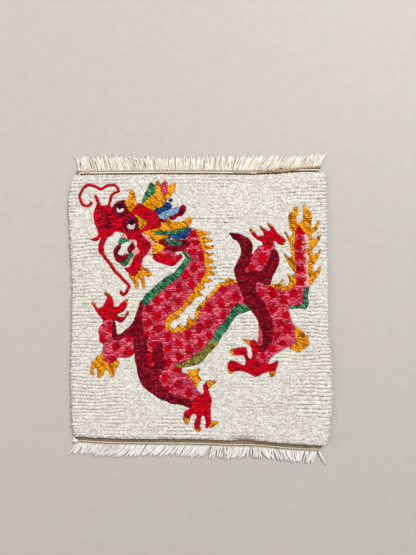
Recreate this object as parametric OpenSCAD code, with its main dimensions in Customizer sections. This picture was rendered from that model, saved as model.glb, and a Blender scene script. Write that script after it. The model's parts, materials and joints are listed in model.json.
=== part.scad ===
// Hand-knotted wool mat with a dragon motif, carved pile and cotton fringes.
// The mat lies flat: X runs across it, Y runs from the tail end to the head end, Z is up.
// The origin is the middle of the underside; every pile area is a solid of its own.

/* [Layers] */
// Thickness of the woven ground under the pile
ground_t = 3; // [2:0.5:5]
// Height of the pile above the woven ground
pile_h = 12; // [6:1:20]
// Thickness of the flat-woven heading at both ends
heading_t = 2.5; // [1.5:0.5:4]

/* [Carving] */
// Width of the groove sheared between two colours
groove_w = 0.8; // [0.4:0.2:2]
// Slits narrower than twice this are filled with pile
slit_r = 1.2; // [0.5:0.1:2]
// Slivers narrower than twice this carry no pile
sliver_r = 1; // [0.4:0.1:1.5]
// Points drawn along each step of a curved outline
curve_steps = 2; // [1:1:6]

/* [Side cords] */
// Width of the overcast cord along each long side
selvedge_w = 5; // [3:0.5:8]
// Height of the overcast cord along each long side
selvedge_t = 5; // [3:0.5:8]
// Distance between two overcast stitches
selvedge_pitch = 10; // [6:1:14]

/* [End cords] */
// Width of the twined cord across each end
cord_w = 4; // [2:0.5:6]
// Height of the twined cord across each end
cord_t = 4.5; // [3:0.5:8]
// Distance between two turns of the twined cord
cord_pitch = 10; // [6:1:14]

/* [Fringe] */
// Distance between two fringe cords
fringe_pitch = 5; // [4:0.5:10]
// Width of one fringe cord
fringe_w = 3.4; // [2:0.2:5]
// Thickness of one fringe cord
fringe_t = 3; // [1.5:0.5:5]
// Length of the fringe at the head end
fringe_top_len = 32; // [15:1:80]
// Length of the fringe at the tail end
fringe_bottom_len = 29; // [15:1:80]

/* [Hidden] */
// The drawing is shifted by this much so that the whole mat is centred on the origin
shift_x = 3;
shift_y = -4;
// Narrow gaps kept so that neighbouring textile parts only just do not touch
clear = 0.4;
// Place and size of the two helper squares beyond the mat
far_y = 1000;
mark_w = 10;
// The part of the groove that trimming takes off
trim_w = 0.15;
// Notches narrower than twice this are closed in a twined cord
seam_r = 0.3;

ivory = [0.87, 0.85, 0.80];
cotton = [0.90, 0.88, 0.84];
flax = [0.66, 0.58, 0.45];
red = [0.78, 0.04, 0.10];
burgundy = [0.45, 0.04, 0.10];
rose = [0.78, 0.28, 0.36];
gold = [0.90, 0.58, 0.10];
green = [0.16, 0.48, 0.32];
olive = [0.48, 0.47, 0.18];
navy = [0.10, 0.22, 0.46];
sky = [0.52, 0.66, 0.76];
peach = [0.86, 0.64, 0.55];
black = [0.05, 0.05, 0.06];

// ---- curves ----

// One point of the smooth curve through b and c, with a and d on either side
function bend(a, b, c, d, t) =
    0.5 * (2 * b + (c - a) * t + (2 * a - 5 * b + 4 * c - d) * t * t
    + (3 * b - a - 3 * c + d) * t * t * t);

// A closed curve through all the points
function closed(p) = [
    for (i = [0 : len(p) - 1])
        for (s = [0 : curve_steps - 1])
            bend(p[(i + len(p) - 1) % len(p)], p[i], p[(i + 1) % len(p)], p[(i + 2) % len(p)],
                s / curve_steps)
];

// An open curve through all the points
function open_curve(p, steps) = [
    for (i = [0 : len(p) - 2])
        for (s = [0 : steps - 1])
            bend(p[max(i - 1, 0)], p[i], p[i + 1], p[min(i + 2, len(p) - 1)], s / steps),
    p[len(p) - 1]
];

// An oval given as centre, half width and half length
function oval(o) = [for (a = [15 : 30 : 345]) [o[0] + o[2] * cos(a), o[1] + o[3] * sin(a)]];

// One straight stretch of ribbon from a to b
module stretch(a, b, w) {
    side = [a[1] - b[1], b[0] - a[0]] * (w / 2 / norm(b - a));
    polygon([a + side, b + side, b - side, a - side]);
}

// A ribbon of constant width along an open curve, rounded at every point
module ribbon(p, w, sides) {
    for (i = [0 : len(p) - 2]) stretch(p[i], p[i + 1], w);
    for (q = p) translate(q) circle(d = w, $fn = sides);
}

// ---- mat outline ----

side_left = [
    [-302, 315], [-310, 300], [-317, 264], [-313, 205], [-309, 147], [-306, 90], [-304, 32],
    [-304, -82], [-305, -138], [-304, -193], [-301, -248], [-298, -296]
];
side_right = [
    [300, 320], [303, 300], [303, 262], [302, 147], [304, 90], [304, -25], [306, -82], [310, -138],
    [311, -200], [308, -248], [304, -280], [300, -314]
];
end_top = [[-292, 319], [-200, 320], [-100, 321], [0, 321], [100, 320], [170, 321], [220, 326], [290, 327]];
end_bottom = [
    [290, -324], [260, -323], [200, -320], [140, -314], [60, -312], [0, -310], [-100, -309],
    [-200, -308], [-240, -306], [-288, -303]
];

function reversed(p) = [for (i = [len(p) - 1 : -1 : 0]) p[i]];
mat_outline = concat(end_top, side_right, end_bottom, reversed(side_left));

// ---- dragon: head ----

whisker_paths = [
    [6, [[-263, 252], [-265, 246], [-274, 243], [-283, 247], [-288, 257], [-291, 268], [-286, 279],
        [-281, 287], [-272, 295], [-260, 293], [-250, 290], [-244, 285], [-237, 285], [-229, 291],
        [-220, 294], [-208, 294], [-201, 289], [-197, 279], [-207, 275], [-214, 269], [-217, 258],
        [-220, 246]]],
    [7, [[-252, 267], [-248, 258], [-244, 248]]],
    [13, [[-229, 168], [-235, 156], [-238, 144], [-237, 133]]],
    [7, [[-235, 130], [-226, 116], [-217, 106], [-209, 94], [-202, 84], [-192, 75], [-184, 66],
        [-176, 58], [-170, 52], [-172, 45], [-178, 33], [-184, 30], [-189, 36]]]
];

face_outline = [
    [-248, 249], [-238, 245], [-226, 245], [-217, 244], [-211, 239], [-200, 225], [-185, 222],
    [-172, 228], [-160, 234], [-156, 243], [-151, 250], [-144, 250], [-136, 244], [-118, 234],
    [-110, 229], [-101, 221], [-97, 210], [-93, 199], [-96, 193], [-104, 189], [-120, 186],
    [-136, 182], [-140, 176], [-135, 168], [-126, 160], [-119, 153], [-118, 145], [-123, 135],
    [-128, 127], [-137, 117], [-140, 107], [-142, 97], [-147, 88], [-150, 80], [-156, 75],
    [-166, 77], [-173, 84], [-181, 92], [-173, 95], [-165, 101], [-161, 112], [-157, 122],
    [-148, 128], [-143, 133], [-148, 140], [-152, 147], [-151, 155], [-154, 162], [-162, 163],
    [-171, 163], [-175, 168], [-180, 176], [-190, 181], [-200, 182], [-206, 180], [-211, 173],
    [-222, 168], [-232, 172], [-238, 169], [-243, 162], [-250, 158], [-258, 160], [-265, 163],
    [-253, 166], [-246, 171], [-245, 179], [-248, 189], [-253, 199], [-256, 210], [-257, 222],
    [-255, 233], [-251, 242]
];
snout_shade_outlines = [
    [[-249, 231], [-238, 233], [-226, 231], [-218, 229], [-218, 215], [-216, 204], [-212, 198],
        [-215, 190], [-226, 186], [-239, 190], [-245, 196], [-236, 199], [-227, 202], [-225, 208],
        [-236, 206], [-248, 208], [-240, 213], [-230, 216], [-236, 222], [-248, 225]]
];
eye_ring_outlines = [
    [[-212, 240], [-207, 248], [-198, 254], [-187, 258], [-180, 256], [-175, 248], [-173, 238],
        [-167, 229], [-174, 223], [-183, 219], [-193, 216], [-203, 219], [-209, 227]],
    [[-181, 212], [-176, 217], [-168, 221], [-160, 222], [-152, 216], [-147, 206], [-146, 192],
        [-152, 184], [-160, 180], [-171, 180], [-179, 185], [-183, 192], [-184, 203]]
];
eye_white_outlines = [
    [[-201, 240], [-200, 231], [-196, 227], [-190, 228], [-184, 232], [-184, 237], [-191, 238]],
    [[-176, 198], [-166, 200], [-157, 201], [-156, 194], [-160, 188], [-167, 186], [-174, 190]]
];
pupil_outlines = [
    [[-200, 244], [-194, 248], [-187, 247], [-186, 241], [-190, 237], [-197, 237]],
    [[-173, 206], [-166, 209], [-160, 208], [-158, 203], [-161, 198], [-168, 198]]
];
brow_outlines = [
    [[-160, 222], [-152, 221], [-145, 218], [-141, 213], [-134, 211], [-128, 205], [-131, 196],
        [-136, 190], [-144, 187], [-148, 195], [-149, 205], [-148, 211], [-153, 216]]
];
horn_outlines = [
    [[-170, 280], [-163, 280], [-158, 275], [-157, 265], [-155, 255], [-153, 247], [-158, 240],
        [-165, 231], [-171, 229], [-174, 237], [-179, 245], [-182, 252], [-177, 258], [-173, 264]]
];
mane_green_outlines = [
    [[-120, 301], [-113, 296], [-109, 288], [-109, 276], [-120, 267], [-134, 254], [-139, 247],
        [-141, 251], [-138, 260], [-135, 270], [-130, 280], [-125, 291]],
    [[-114, 181], [-100, 183], [-80, 183], [-60, 185], [-42, 190], [-29, 192], [-30, 186],
        [-42, 180], [-54, 176], [-74, 174], [-90, 172], [-102, 173]]
];
mane_gold_outlines = [
    [[-138, 247], [-130, 242], [-120, 236], [-110, 231], [-106, 240], [-98, 238], [-91, 243],
        [-87, 251], [-80, 259], [-72, 268], [-65, 276], [-61, 284], [-60, 298], [-64, 300],
        [-69, 296], [-75, 293], [-80, 294], [-94, 290], [-97, 299], [-103, 305], [-107, 301],
        [-109, 290], [-109, 276], [-116, 268], [-124, 261], [-132, 254]],
    [[-78, 219], [-73, 211], [-67, 205], [-56, 204], [-43, 206], [-34, 212], [-26, 217], [-20, 216],
        [-20, 208], [-25, 198], [-32, 192], [-54, 186], [-86, 183], [-112, 178], [-134, 178],
        [-132, 188], [-112, 196], [-100, 206], [-84, 203]]
];
mane_pink_outlines = [
    [[-95, 294], [-90, 300], [-85, 304], [-80, 302], [-79, 285], [-80, 276], [-84, 268], [-88, 268],
        [-93, 277], [-96, 286]]
];
mane_navy_outlines = [
    [[-113, 231], [-105, 241], [-97, 240], [-90, 244], [-86, 251], [-79, 253], [-72, 250],
        [-68, 242], [-74, 236], [-88, 229], [-101, 223]],
    [[-77, 258], [-71, 263], [-67, 260], [-68, 254], [-74, 254]],
    [[-77, 172], [-66, 177], [-52, 177], [-40, 184], [-28, 191], [-21, 188], [-26, 177],
        [-34, 165], [-44, 164], [-58, 163], [-68, 166], [-76, 167]]
];
mane_sky_outlines = [
    [[-101, 224], [-92, 230], [-76, 235], [-62, 238], [-52, 242], [-50, 234], [-56, 226],
        [-70, 219], [-80, 217], [-82, 211], [-94, 212], [-99, 216]]
];
mane_burgundy_outlines = [
    [[-73, 227], [-68, 231], [-62, 225], [-53, 228], [-56, 235], [-50, 240], [-44, 246],
        [-37, 245], [-34, 237], [-37, 228], [-45, 219], [-53, 219], [-58, 213], [-65, 209],
        [-74, 214]],
    [[-98, 213], [-88, 213], [-78, 210], [-82, 205], [-90, 202], [-97, 205]]
];
cheek_gold_outlines = [
    [[-137, 179], [-128, 182], [-114, 182], [-106, 175], [-92, 173], [-80, 174], [-75, 170],
        [-82, 166], [-99, 160], [-98, 152], [-85, 146], [-87, 139], [-94, 134], [-103, 129],
        [-114, 127], [-113, 136], [-116, 141], [-112, 148], [-112, 158], [-118, 165],
        [-121, 173], [-130, 174]]
];
cheek_peach_outlines = [
    [[-142, 176], [-137, 181], [-128, 177], [-118, 170], [-109, 158], [-108, 150], [-111, 141],
        [-110, 132], [-108, 126], [-116, 124], [-124, 127], [-128, 133], [-124, 144], [-124, 153],
        [-132, 161]]
];
lip_outlines = [
    [[-192, 182], [-178, 182], [-160, 168], [-148, 160], [-146, 150], [-144, 142], [-138, 133],
        [-144, 124], [-154, 116], [-160, 100], [-172, 90], [-183, 94], [-184, 100], [-175, 104],
        [-168, 112], [-161, 121], [-160, 127], [-164, 131], [-160, 137], [-156, 144], [-160, 153],
        [-168, 158], [-180, 164], [-189, 167], [-191, 174]]
];
mouth_ring_outlines = [
    [[-193, 152], [-190, 143], [-195, 136], [-197, 127], [-188, 124], [-175, 128], [-172, 121],
        [-175, 112], [-186, 107], [-197, 107], [-203, 114], [-206, 124], [-208, 133], [-204, 142],
        [-199, 149]],
    [[-167, 151], [-162, 155], [-158, 150], [-156, 142], [-162, 136], [-169, 130], [-174, 134],
        [-174, 142]]
];
mouth_green_outlines = [
    [[-192, 165], [-184, 166], [-172, 162], [-171, 158], [-181, 156], [-191, 150], [-196, 155]],
    [[-171, 131], [-160, 127], [-163, 120], [-168, 115], [-170, 108], [-179, 98], [-187, 101],
        [-193, 107], [-183, 107], [-180, 114], [-174, 117], [-172, 124]]
];
beard_outlines = [
    [[-166, 79], [-156, 78], [-148, 90], [-140, 101], [-135, 95], [-124, 88], [-115, 79],
        [-120, 74], [-128, 74], [-135, 78], [-133, 66], [-132, 46], [-136, 43], [-139, 54],
        [-143, 67], [-148, 70], [-147, 52], [-150, 44], [-155, 46], [-158, 57], [-166, 69],
        [-172, 79]]
];

// ---- dragon: throat and neck ----

throat_red_outlines = [
    [[-113, 122], [-106, 128], [-94, 135], [-80, 137], [-66, 132], [-56, 124], [-50, 127],
        [-44, 126], [-42, 120], [-50, 112], [-58, 103], [-68, 98], [-80, 101], [-92, 105],
        [-104, 109], [-112, 115]]
];
throat_pink_outlines = [
    [[-99, 131], [-90, 136], [-78, 138], [-66, 135], [-60, 130], [-54, 122], [-56, 116],
        [-63, 116], [-68, 122], [-76, 127], [-88, 128]]
];
neck_shade_outlines = [
    [[-103, 161], [-92, 163], [-76, 162], [-60, 160], [-44, 161], [-30, 159], [-22, 155],
        [-30, 146], [-36, 139], [-48, 134], [-62, 133], [-76, 138], [-92, 135], [-86, 144],
        [-95, 150]]
];
neck_scroll_outlines = [
    [[-88, 163], [-81, 167], [-70, 162], [-58, 159], [-47, 158], [-45, 152], [-48, 147],
        [-56, 149], [-65, 146], [-74, 152], [-80, 158]]
];

// ---- dragon: body and tail ----

body_outline = [
    [-26, 190], [-12, 186], [-2, 178], [4, 168], [6, 158], [8, 148], [13, 136], [15, 124],
    [16, 112], [18, 100], [18, 88], [14, 78], [8, 67], [2, 57], [-7, 46], [-16, 34], [-24, 24],
    [-32, 12], [-40, 0], [-50, -11], [-62, -18], [-71, -26], [-77, -36], [-79, -46], [-74, -54],
    [-60, -55], [-48, -50], [-34, -50], [-26, -46], [-20, -38], [-12, -28], [-6, -16], [-2, -4],
    [4, 7], [11, 18], [20, 26], [29, 35], [37, 45], [47, 54], [60, 58], [76, 60], [92, 62],
    [110, 60], [126, 20], [112, 0], [88, 0], [82, -8], [72, -22], [62, -38], [50, -48],
    [42, -60], [35, -72], [29, -84], [18, -96], [4, -106], [-10, -117], [-24, -130], [-40, -136],
    [-54, -140], [-46, -153], [-34, -157], [-22, -162], [-12, -172], [-10, -184], [-6, -196],
    [2, -206], [-8, -226], [-40, -222], [-70, -210], [-100, -190], [-130, -120], [-142, -60],
    [-142, -10], [-138, 8], [-120, 15], [-104, 32], [-90, 46], [-76, 57], [-60, 68], [-50, 76],
    [-42, 90], [-34, 104], [-28, 116], [-34, 128], [-44, 134], [-34, 144], [-30, 156], [-66, 160],
    [-60, 168], [-36, 170], [-30, 182]
];
thigh_outlines = [
    [[120, 62], [140, 66], [160, 58], [180, 54], [198, 48], [212, 46], [228, 56], [236, 60],
        [250, 54], [250, 30], [248, 12], [240, 2], [212, 0], [213, -14], [216, -28], [222, -40],
        [229, -50], [230, -62], [230, -80], [220, -94], [208, -94], [196, -102], [180, -110],
        [166, -122], [160, -134], [140, -136], [128, -120], [132, -98], [140, -60], [134, -10],
        [110, 30]]
];
tail_outlines = [
    [[228, 50], [227, 80], [225, 110], [224, 140], [225, 176], [230, 190], [238, 196], [246, 190],
        [252, 178], [254, 150], [254, 110], [254, 70], [251, 46], [238, 42]]
];
tail_peach_outlines = [
    [[248, 174], [256, 176], [265, 172], [264, 158], [267, 148], [262, 140], [264, 120], [262, 100],
        [264, 84], [262, 72], [264, 58], [264, 49], [256, 47], [250, 49], [250, 100]]
];
tail_flame_outlines = [
    [[238, 197], [237, 202], [232, 207], [231, 216], [235, 226], [235, 236], [232, 242],
        [222, 233], [213, 221], [213, 206], [215, 192], [217, 184], [222, 180], [221, 172],
        [216, 168], [210, 173], [202, 186], [204, 176], [212, 161], [216, 150], [217, 138],
        [219, 127], [222, 122], [214, 118], [209, 122], [201, 128], [206, 116], [211, 104],
        [220, 91], [228, 82], [230, 96], [228, 112], [226, 126], [226, 150], [229, 178],
        [232, 189]],
    [[238, 198], [243, 203], [247, 211], [247, 232], [248, 246], [256, 241], [265, 229],
        [268, 216], [266, 194], [268, 189], [274, 192], [283, 208], [286, 200], [281, 186],
        [272, 178], [267, 172], [270, 165], [276, 162], [281, 168], [288, 176], [286, 160],
        [278, 148], [269, 138], [268, 129], [274, 125], [281, 130], [289, 138], [286, 126],
        [278, 110], [271, 100], [269, 90], [275, 84], [282, 92], [288, 98], [287, 86],
        [276, 67], [264, 53], [261, 62], [262, 72], [257, 82], [260, 92], [258, 104],
        [262, 116], [258, 130], [259, 141], [264, 149], [260, 160], [263, 172], [252, 178]],
    [[164, 53], [176, 55], [186, 55], [192, 60], [196, 67], [199, 64], [195, 56], [200, 51],
        [207, 51], [212, 56], [213, 66], [209, 80], [218, 76], [226, 77], [230, 66], [229, 56],
        [222, 47], [210, 41], [198, 40], [184, 45], [172, 49]]
];
back_flame_outlines = [
    [[-19, 189], [-8, 186], [8, 182], [25, 176], [15, 173], [9, 173], [13, 168], [20, 163],
        [31, 161], [24, 157], [13, 155], [13, 149], [23, 147], [33, 149], [29, 141], [17, 139],
        [13, 134], [22, 128], [34, 130], [27, 124], [18, 120], [25, 115], [35, 110], [26, 105],
        [18, 103], [22, 98], [42, 96], [30, 91], [23, 90], [27, 85], [36, 80], [29, 74],
        [20, 77], [15, 71], [21, 67], [31, 63], [22, 59], [11, 58], [7, 53], [14, 46], [4, 42],
        [-2, 37], [1, 32], [8, 28], [-4, 26], [-12, 21], [-17, 14], [-23, 7], [-30, 2],
        [-38, -2], [-43, 3], [-35, 15], [-28, 26], [-20, 36], [-12, 46], [-4, 57], [3, 67],
        [10, 78], [14, 88], [12, 100], [10, 112], [10, 124], [8, 136], [3, 146], [0, 158],
        [-2, 168], [-8, 177]]
];
inner_flame_outlines = [
    [[-42, 4], [-52, -6], [-64, -13], [-75, -21], [-82, -32], [-84, -44], [-80, -54], [-72, -60],
        [-58, -60], [-46, -58], [-34, -54], [-24, -50], [-17, -42], [-8, -32], [-2, -20], [2, -8],
        [8, 3], [15, 14], [24, 22], [33, 31], [41, 41], [51, 51], [63, 53], [76, 56], [92, 57],
        [92, 63], [80, 65], [72, 67], [68, 72], [63, 67], [56, 60], [47, 57], [39, 51], [32, 41],
        [25, 37], [24, 29], [14, 26], [13, 17], [4, 11], [-3, 4], [-8, -4], [-11, -14],
        [-12, -26], [-20, -30], [-28, -21], [-31, -34], [-34, -44], [-42, -46], [-49, -39],
        [-54, -44], [-60, -52], [-68, -51], [-71, -42], [-67, -33], [-56, -28], [-47, -22],
        [-52, -17], [-42, -12], [-36, -6]]
];
belly_olive_outlines = [
    [[24, -76], [44, -79], [42, -88], [32, -98], [22, -107], [15, -116], [9, -124], [0, -132],
        [-12, -137], [-36, -142], [-52, -143], [-59, -138], [-54, -133], [-42, -132], [-30, -126],
        [-18, -116], [-6, -108], [6, -100], [16, -90]]
];
belly_green_outlines = [
    [[-43, 132], [-36, 135], [-30, 129], [-23, 121], [-23, 113], [-28, 104], [-34, 96], [-40, 86],
        [-45, 78], [-52, 70], [-62, 63], [-74, 55], [-84, 46], [-94, 38], [-104, 28], [-112, 20],
        [-120, 12], [-128, 4], [-135, 2], [-138, 8], [-137, 20], [-128, 33], [-119, 39],
        [-106, 52], [-90, 65], [-80, 73], [-68, 79], [-60, 84], [-54, 93], [-46, 101], [-40, 111],
        [-34, 119], [-38, 125]],
    [[82, 5], [96, 7], [110, 6], [122, -2], [118, -8], [100, -14], [90, -18], [82, -26],
        [72, -40], [62, -58], [54, -63], [50, -71], [44, -80], [32, -81], [26, -79], [32, -66],
        [38, -55], [48, -44], [59, -34], [66, -22], [74, -9]],
    [[211, 2], [222, 4], [236, 3], [242, 7], [246, 14], [247, 28], [248, 44], [254, 49],
        [260, 46], [258, 34], [257, 24], [259, 14], [257, 3], [251, -4], [236, -2], [218, -4]]
];

// ---- dragon: dark sides of the legs ----

body_shade_outlines = [
    [[-142, 16], [-138, 12], [-136, 0], [-139, -12], [-139, -30], [-138, -44], [-134, -58],
        [-130, -70], [-127, -84], [-125, -98], [-123, -108], [-126, -120], [-124, -132],
        [-119, -139], [-112, -141], [-108, -132], [-111, -120], [-114, -108], [-110, -98],
        [-102, -90], [-95, -82], [-90, -84], [-89, -98], [-87, -114], [-83, -128], [-82, -138],
        [-88, -147], [-94, -158], [-97, -170], [-92, -182], [-82, -194], [-70, -202],
        [-56, -209], [-44, -208], [-32, -216], [-18, -222], [-16, -238], [-30, -235],
        [-44, -230], [-58, -228], [-70, -227], [-80, -221], [-92, -218], [-104, -210],
        [-116, -202], [-128, -193], [-138, -182], [-143, -170], [-148, -156], [-150, -140],
        [-154, -128], [-155, -112], [-157, -98], [-158, -84], [-160, -66], [-172, -66],
        [-180, -72], [-190, -78], [-200, -78], [-208, -71], [-209, -60], [-208, -46],
        [-206, -31], [-202, -38], [-200, -48], [-199, -60], [-195, -65], [-188, -63],
        [-180, -56], [-172, -50], [-164, -42], [-158, -32], [-154, -20], [-150, -8], [-146, 4]]
];
far_leg_outlines = [
    [[69, 178], [80, 178], [92, 177], [100, 173], [110, 168], [119, 162], [125, 153], [126, 143],
        [124, 130], [122, 116], [118, 103], [110, 96], [106, 87], [112, 82], [124, 86], [134, 87],
        [144, 85], [152, 92], [160, 104], [165, 118], [169, 127], [176, 141], [183, 136],
        [188, 126], [190, 115], [188, 104], [183, 92], [178, 82], [172, 72], [170, 61],
        [165, 55], [155, 55], [146, 58], [139, 61], [133, 55], [131, 45], [138, 33], [148, 18],
        [155, 7], [160, -6], [166, -18], [172, -31], [175, -46], [174, -62], [171, -76],
        [168, -90], [160, -96], [152, -105], [140, -104], [137, -98], [144, -93], [149, -82],
        [149, -70], [147, -58], [144, -46], [138, -32], [130, -19], [120, -6], [112, 3],
        [106, 14], [102, 26], [97, 40], [91, 54], [87, 66], [83, 80], [81, 90], [85, 100],
        [90, 111], [95, 120], [98, 130], [98, 141], [94, 152], [88, 160], [80, 163], [75, 170]]
];

// ---- dragon: limbs ----

forearm_outlines = [
    [[148, 148], [156, 154], [170, 154], [179, 150], [178, 140], [172, 128], [168, 118], [164, 104],
        [152, 88], [136, 84], [112, 80], [102, 88], [112, 98], [116, 106], [118, 118], [124, 124],
        [130, 133], [138, 142]]
];
arm_left_outlines = [
    [[-230, -26], [-232, -38], [-238, -46], [-242, -55], [-240, -66], [-235, -76], [-230, -88],
        [-231, -100], [-234, -112], [-232, -124], [-222, -134], [-208, -135], [-200, -126],
        [-196, -119], [-184, -119], [-172, -119], [-163, -116], [-157, -109], [-154, -100],
        [-154, -84], [-156, -62], [-172, -60], [-190, -72], [-204, -72], [-205, -50],
        [-204, -28], [-216, -24]]
];
paw_left_outlines = [
    [[-220, 26], [-214, 28], [-209, 22], [-207, 12], [-206, 3], [-201, 0], [-195, 3], [-189, 10],
        [-183, 14], [-176, 12], [-174, 5], [-177, -2], [-183, -10], [-191, -14], [-199, -17],
        [-194, -21], [-187, -23], [-177, -22], [-180, -30], [-187, -36], [-194, -35],
        [-201, -31], [-212, -29], [-231, -30], [-236, -24], [-242, -18], [-248, -8], [-252, 0],
        [-255, 7], [-252, 8], [-247, 0], [-240, -3], [-234, 0], [-229, 8], [-225, 16]]
];
claw_left_outlines = [
    [[-230, 36], [-222, 34], [-216, 30], [-217, 24], [-224, 26]],
    [[-260, 10], [-254, 13], [-250, 6], [-254, 2], [-258, 5]],
    [[-185, 11], [-179, 18], [-172, 19], [-175, 11], [-180, 7]],
    [[-180, -23], [-178, -16], [-173, -10], [-169, -13], [-173, -21]]
];
elbow_tuft_outlines = [
    [[-231, -110], [-240, -113], [-246, -119], [-250, -125], [-257, -131], [-259, -142],
        [-260, -153], [-255, -161], [-251, -158], [-252, -148], [-248, -142], [-243, -147],
        [-243, -162], [-238, -167], [-231, -163], [-227, -151], [-221, -148], [-216, -152],
        [-213, -161], [-209, -166], [-204, -161], [-203, -152], [-198, -144], [-193, -134],
        [-193, -128], [-201, -126], [-209, -132], [-220, -132], [-228, -124]]
];
paw_upper_outlines = [
    [[123, 178], [130, 180], [134, 176], [138, 171], [146, 170], [153, 173], [152, 181],
        [149, 185], [157, 186], [163, 183], [169, 184], [168, 190], [173, 194], [178, 190],
        [182, 183], [187, 177], [194, 171], [202, 164], [200, 156], [196, 151], [187, 152],
        [182, 157], [177, 158], [172, 150], [160, 150], [152, 151], [148, 157], [138, 162],
        [130, 168], [126, 173]]
];
claw_upper_outlines = [
    [[118, 189], [123, 188], [130, 179], [124, 176], [120, 182]],
    [[142, 195], [147, 194], [150, 190], [157, 186], [151, 182], [146, 187]],
    [[160, 203], [166, 201], [174, 194], [169, 189], [164, 195]],
    [[200, 166], [206, 160], [203, 153], [199, 148], [193, 151], [196, 158]]
];
heel_tuft_outlines = [
    [[226, -47], [234, -48], [240, -53], [246, -60], [252, -66], [259, -71], [254, -77],
        [261, -85], [256, -92], [246, -99], [238, -105], [230, -106], [222, -101], [212, -98],
        [220, -90], [225, -82], [227, -74], [225, -64]]
];
paw_right_outlines = [
    [[119, -79], [128, -77], [134, -82], [138, -92], [139, -104], [133, -112], [134, -122],
        [144, -131], [160, -134], [172, -132], [184, -127], [184, -136], [180, -146],
        [175, -151], [162, -152], [148, -157], [140, -162], [132, -164], [124, -161],
        [116, -156], [106, -153], [94, -150], [82, -151], [72, -152], [67, -144], [66, -134],
        [72, -127], [82, -127], [92, -132], [101, -137], [107, -136], [108, -128], [107, -120],
        [100, -113], [84, -113], [80, -106], [81, -99], [94, -96], [108, -95], [111, -102],
        [112, -112], [116, -121], [122, -121], [124, -110], [122, -97], [119, -88]]
];
claw_right_outlines = [
    [[98, -75], [107, -77], [120, -79], [120, -92], [111, -85]],
    [[69, -104], [76, -99], [88, -98], [90, -106], [82, -115], [76, -111]],
    [[65, -140], [74, -143], [86, -146], [80, -152], [74, -157], [67, -153]],
    [[165, -151], [172, -149], [180, -149], [177, -159], [171, -165], [165, -160]]
];
knee_tuft_outlines = [
    [[-30, -150], [-22, -148], [-12, -148], [-2, -144], [-1, -151], [-6, -158], [-2, -164],
        [4, -173], [-3, -175], [-5, -183], [-10, -191], [-14, -182], [-18, -173], [-25, -165]]
];
paw_bottom_outlines = [
    [[2, -206], [8, -204], [9, -196], [7, -188], [10, -181], [15, -178], [18, -186], [20, -195],
        [23, -205], [27, -214], [28, -222], [25, -232], [25, -256], [26, -268], [22, -278],
        [18, -284], [12, -282], [14, -272], [12, -262], [9, -254], [5, -255], [2, -263],
        [1, -272], [-2, -283], [-8, -287], [-13, -284], [-14, -276], [-11, -266], [-8, -257],
        [-12, -251], [-18, -252], [-22, -257], [-28, -262], [-37, -258], [-38, -249],
        [-33, -243], [-22, -238], [-20, -228], [-14, -218], [-6, -209]]
];
claw_bottom_outlines = [
    [[14, -178], [20, -173], [28, -174], [40, -173], [35, -180], [27, -186], [20, -192]],
    [[-41, -258], [-32, -258], [-23, -259], [-26, -268], [-28, -275], [-34, -275], [-38, -268]],
    [[-14, -284], [-6, -281], [2, -283], [2, -289], [-3, -293], [-9, -291]],
    [[20, -279], [25, -269], [33, -269], [44, -271], [36, -277], [28, -283]]
];

// Scale marks: centre, half width and half length of each oval
scale_ovals = [
    [-16, 177, 9, 8], [-10, 155, 11, 8], [-19, 133, 11, 9], [3, 122, 7, 16], [-13, 94, 10, 12],
    [-34, 78, 9, 12], [4, 76, 9, 9], [-20, 56, 10, 9], [-50, 46, 9, 13], [-77, 30, 9, 11],
    [-102, 17, 10, 11], [-50, 14, 9, 9], [-77, -5, 11, 10], [-122, -3, 8, 11],
    [-101, -20, 11, 12], [-127, -38, 10, 9], [-101, -49, 11, 9], [-125, -67, 7, 11],
    [-76, -68, 9, 10], [-108, -88, 12, 8], [-117, -120, 9, 17], [-50, -84, 9, 11],
    [-76, -98, 10, 9], [-49, -117, 9, 11], [-76, -130, 10, 10], [-53, -147, 10, 9],
    [-84, -166, 10, 11], [-51, -181, 10, 10], [-76, -192, 9, 7], [-28, -202, 9, 9],
    [-28, -65, 10, 13], [-2, -48, 11, 12], [20, -39, 10, 11], [20, 0, 12, 13], [22, -66, 9, 9],
    [1, -84, 9, 11], [-26, -100, 10, 12], [56, -18, 8, 13], [50, 10, 10, 12], [53, 43, 11, 8],
    [86, 26, 11, 12], [76, 3, 7, 9], [144, 33, 9, 11], [172, 35, 11, 13], [199, 17, 9, 13],
    [172, -3, 10, 11], [223, 33, 12, 10], [205, -18, 9, 11], [190, -37, 8, 8],
    [208, -53, 11, 13], [182, -66, 9, 10], [197, -85, 10, 9], [170, -98, 11, 9],
    [149, -114, 8, 7], [149, 115, 12, 14], [162, 146, 11, 8], [122, 96, 12, 9],
    [-215, -48, 6, 15], [-231, -75, 9, 10], [-199, -92, 10, 10], [-170, -73, 10, 9],
    [-170, -106, 13, 8], [-205, -123, 8, 8]
];
// Bars of red across the tail
tail_bar_outlines = [
    [[228, 186], [238, 197], [248, 190], [253, 178], [246, 173], [240, 169], [234, 173]],
    [[226, 160], [240, 162], [252, 156], [251, 144], [240, 133], [228, 142]],
    [[224, 128], [238, 131], [252, 124], [250, 113], [238, 117], [224, 113]],
    [[226, 99], [240, 102], [252, 97], [250, 84], [238, 80], [228, 84]],
    [[231, 64], [240, 72], [252, 66], [251, 55], [242, 51], [233, 55]]
];

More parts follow.
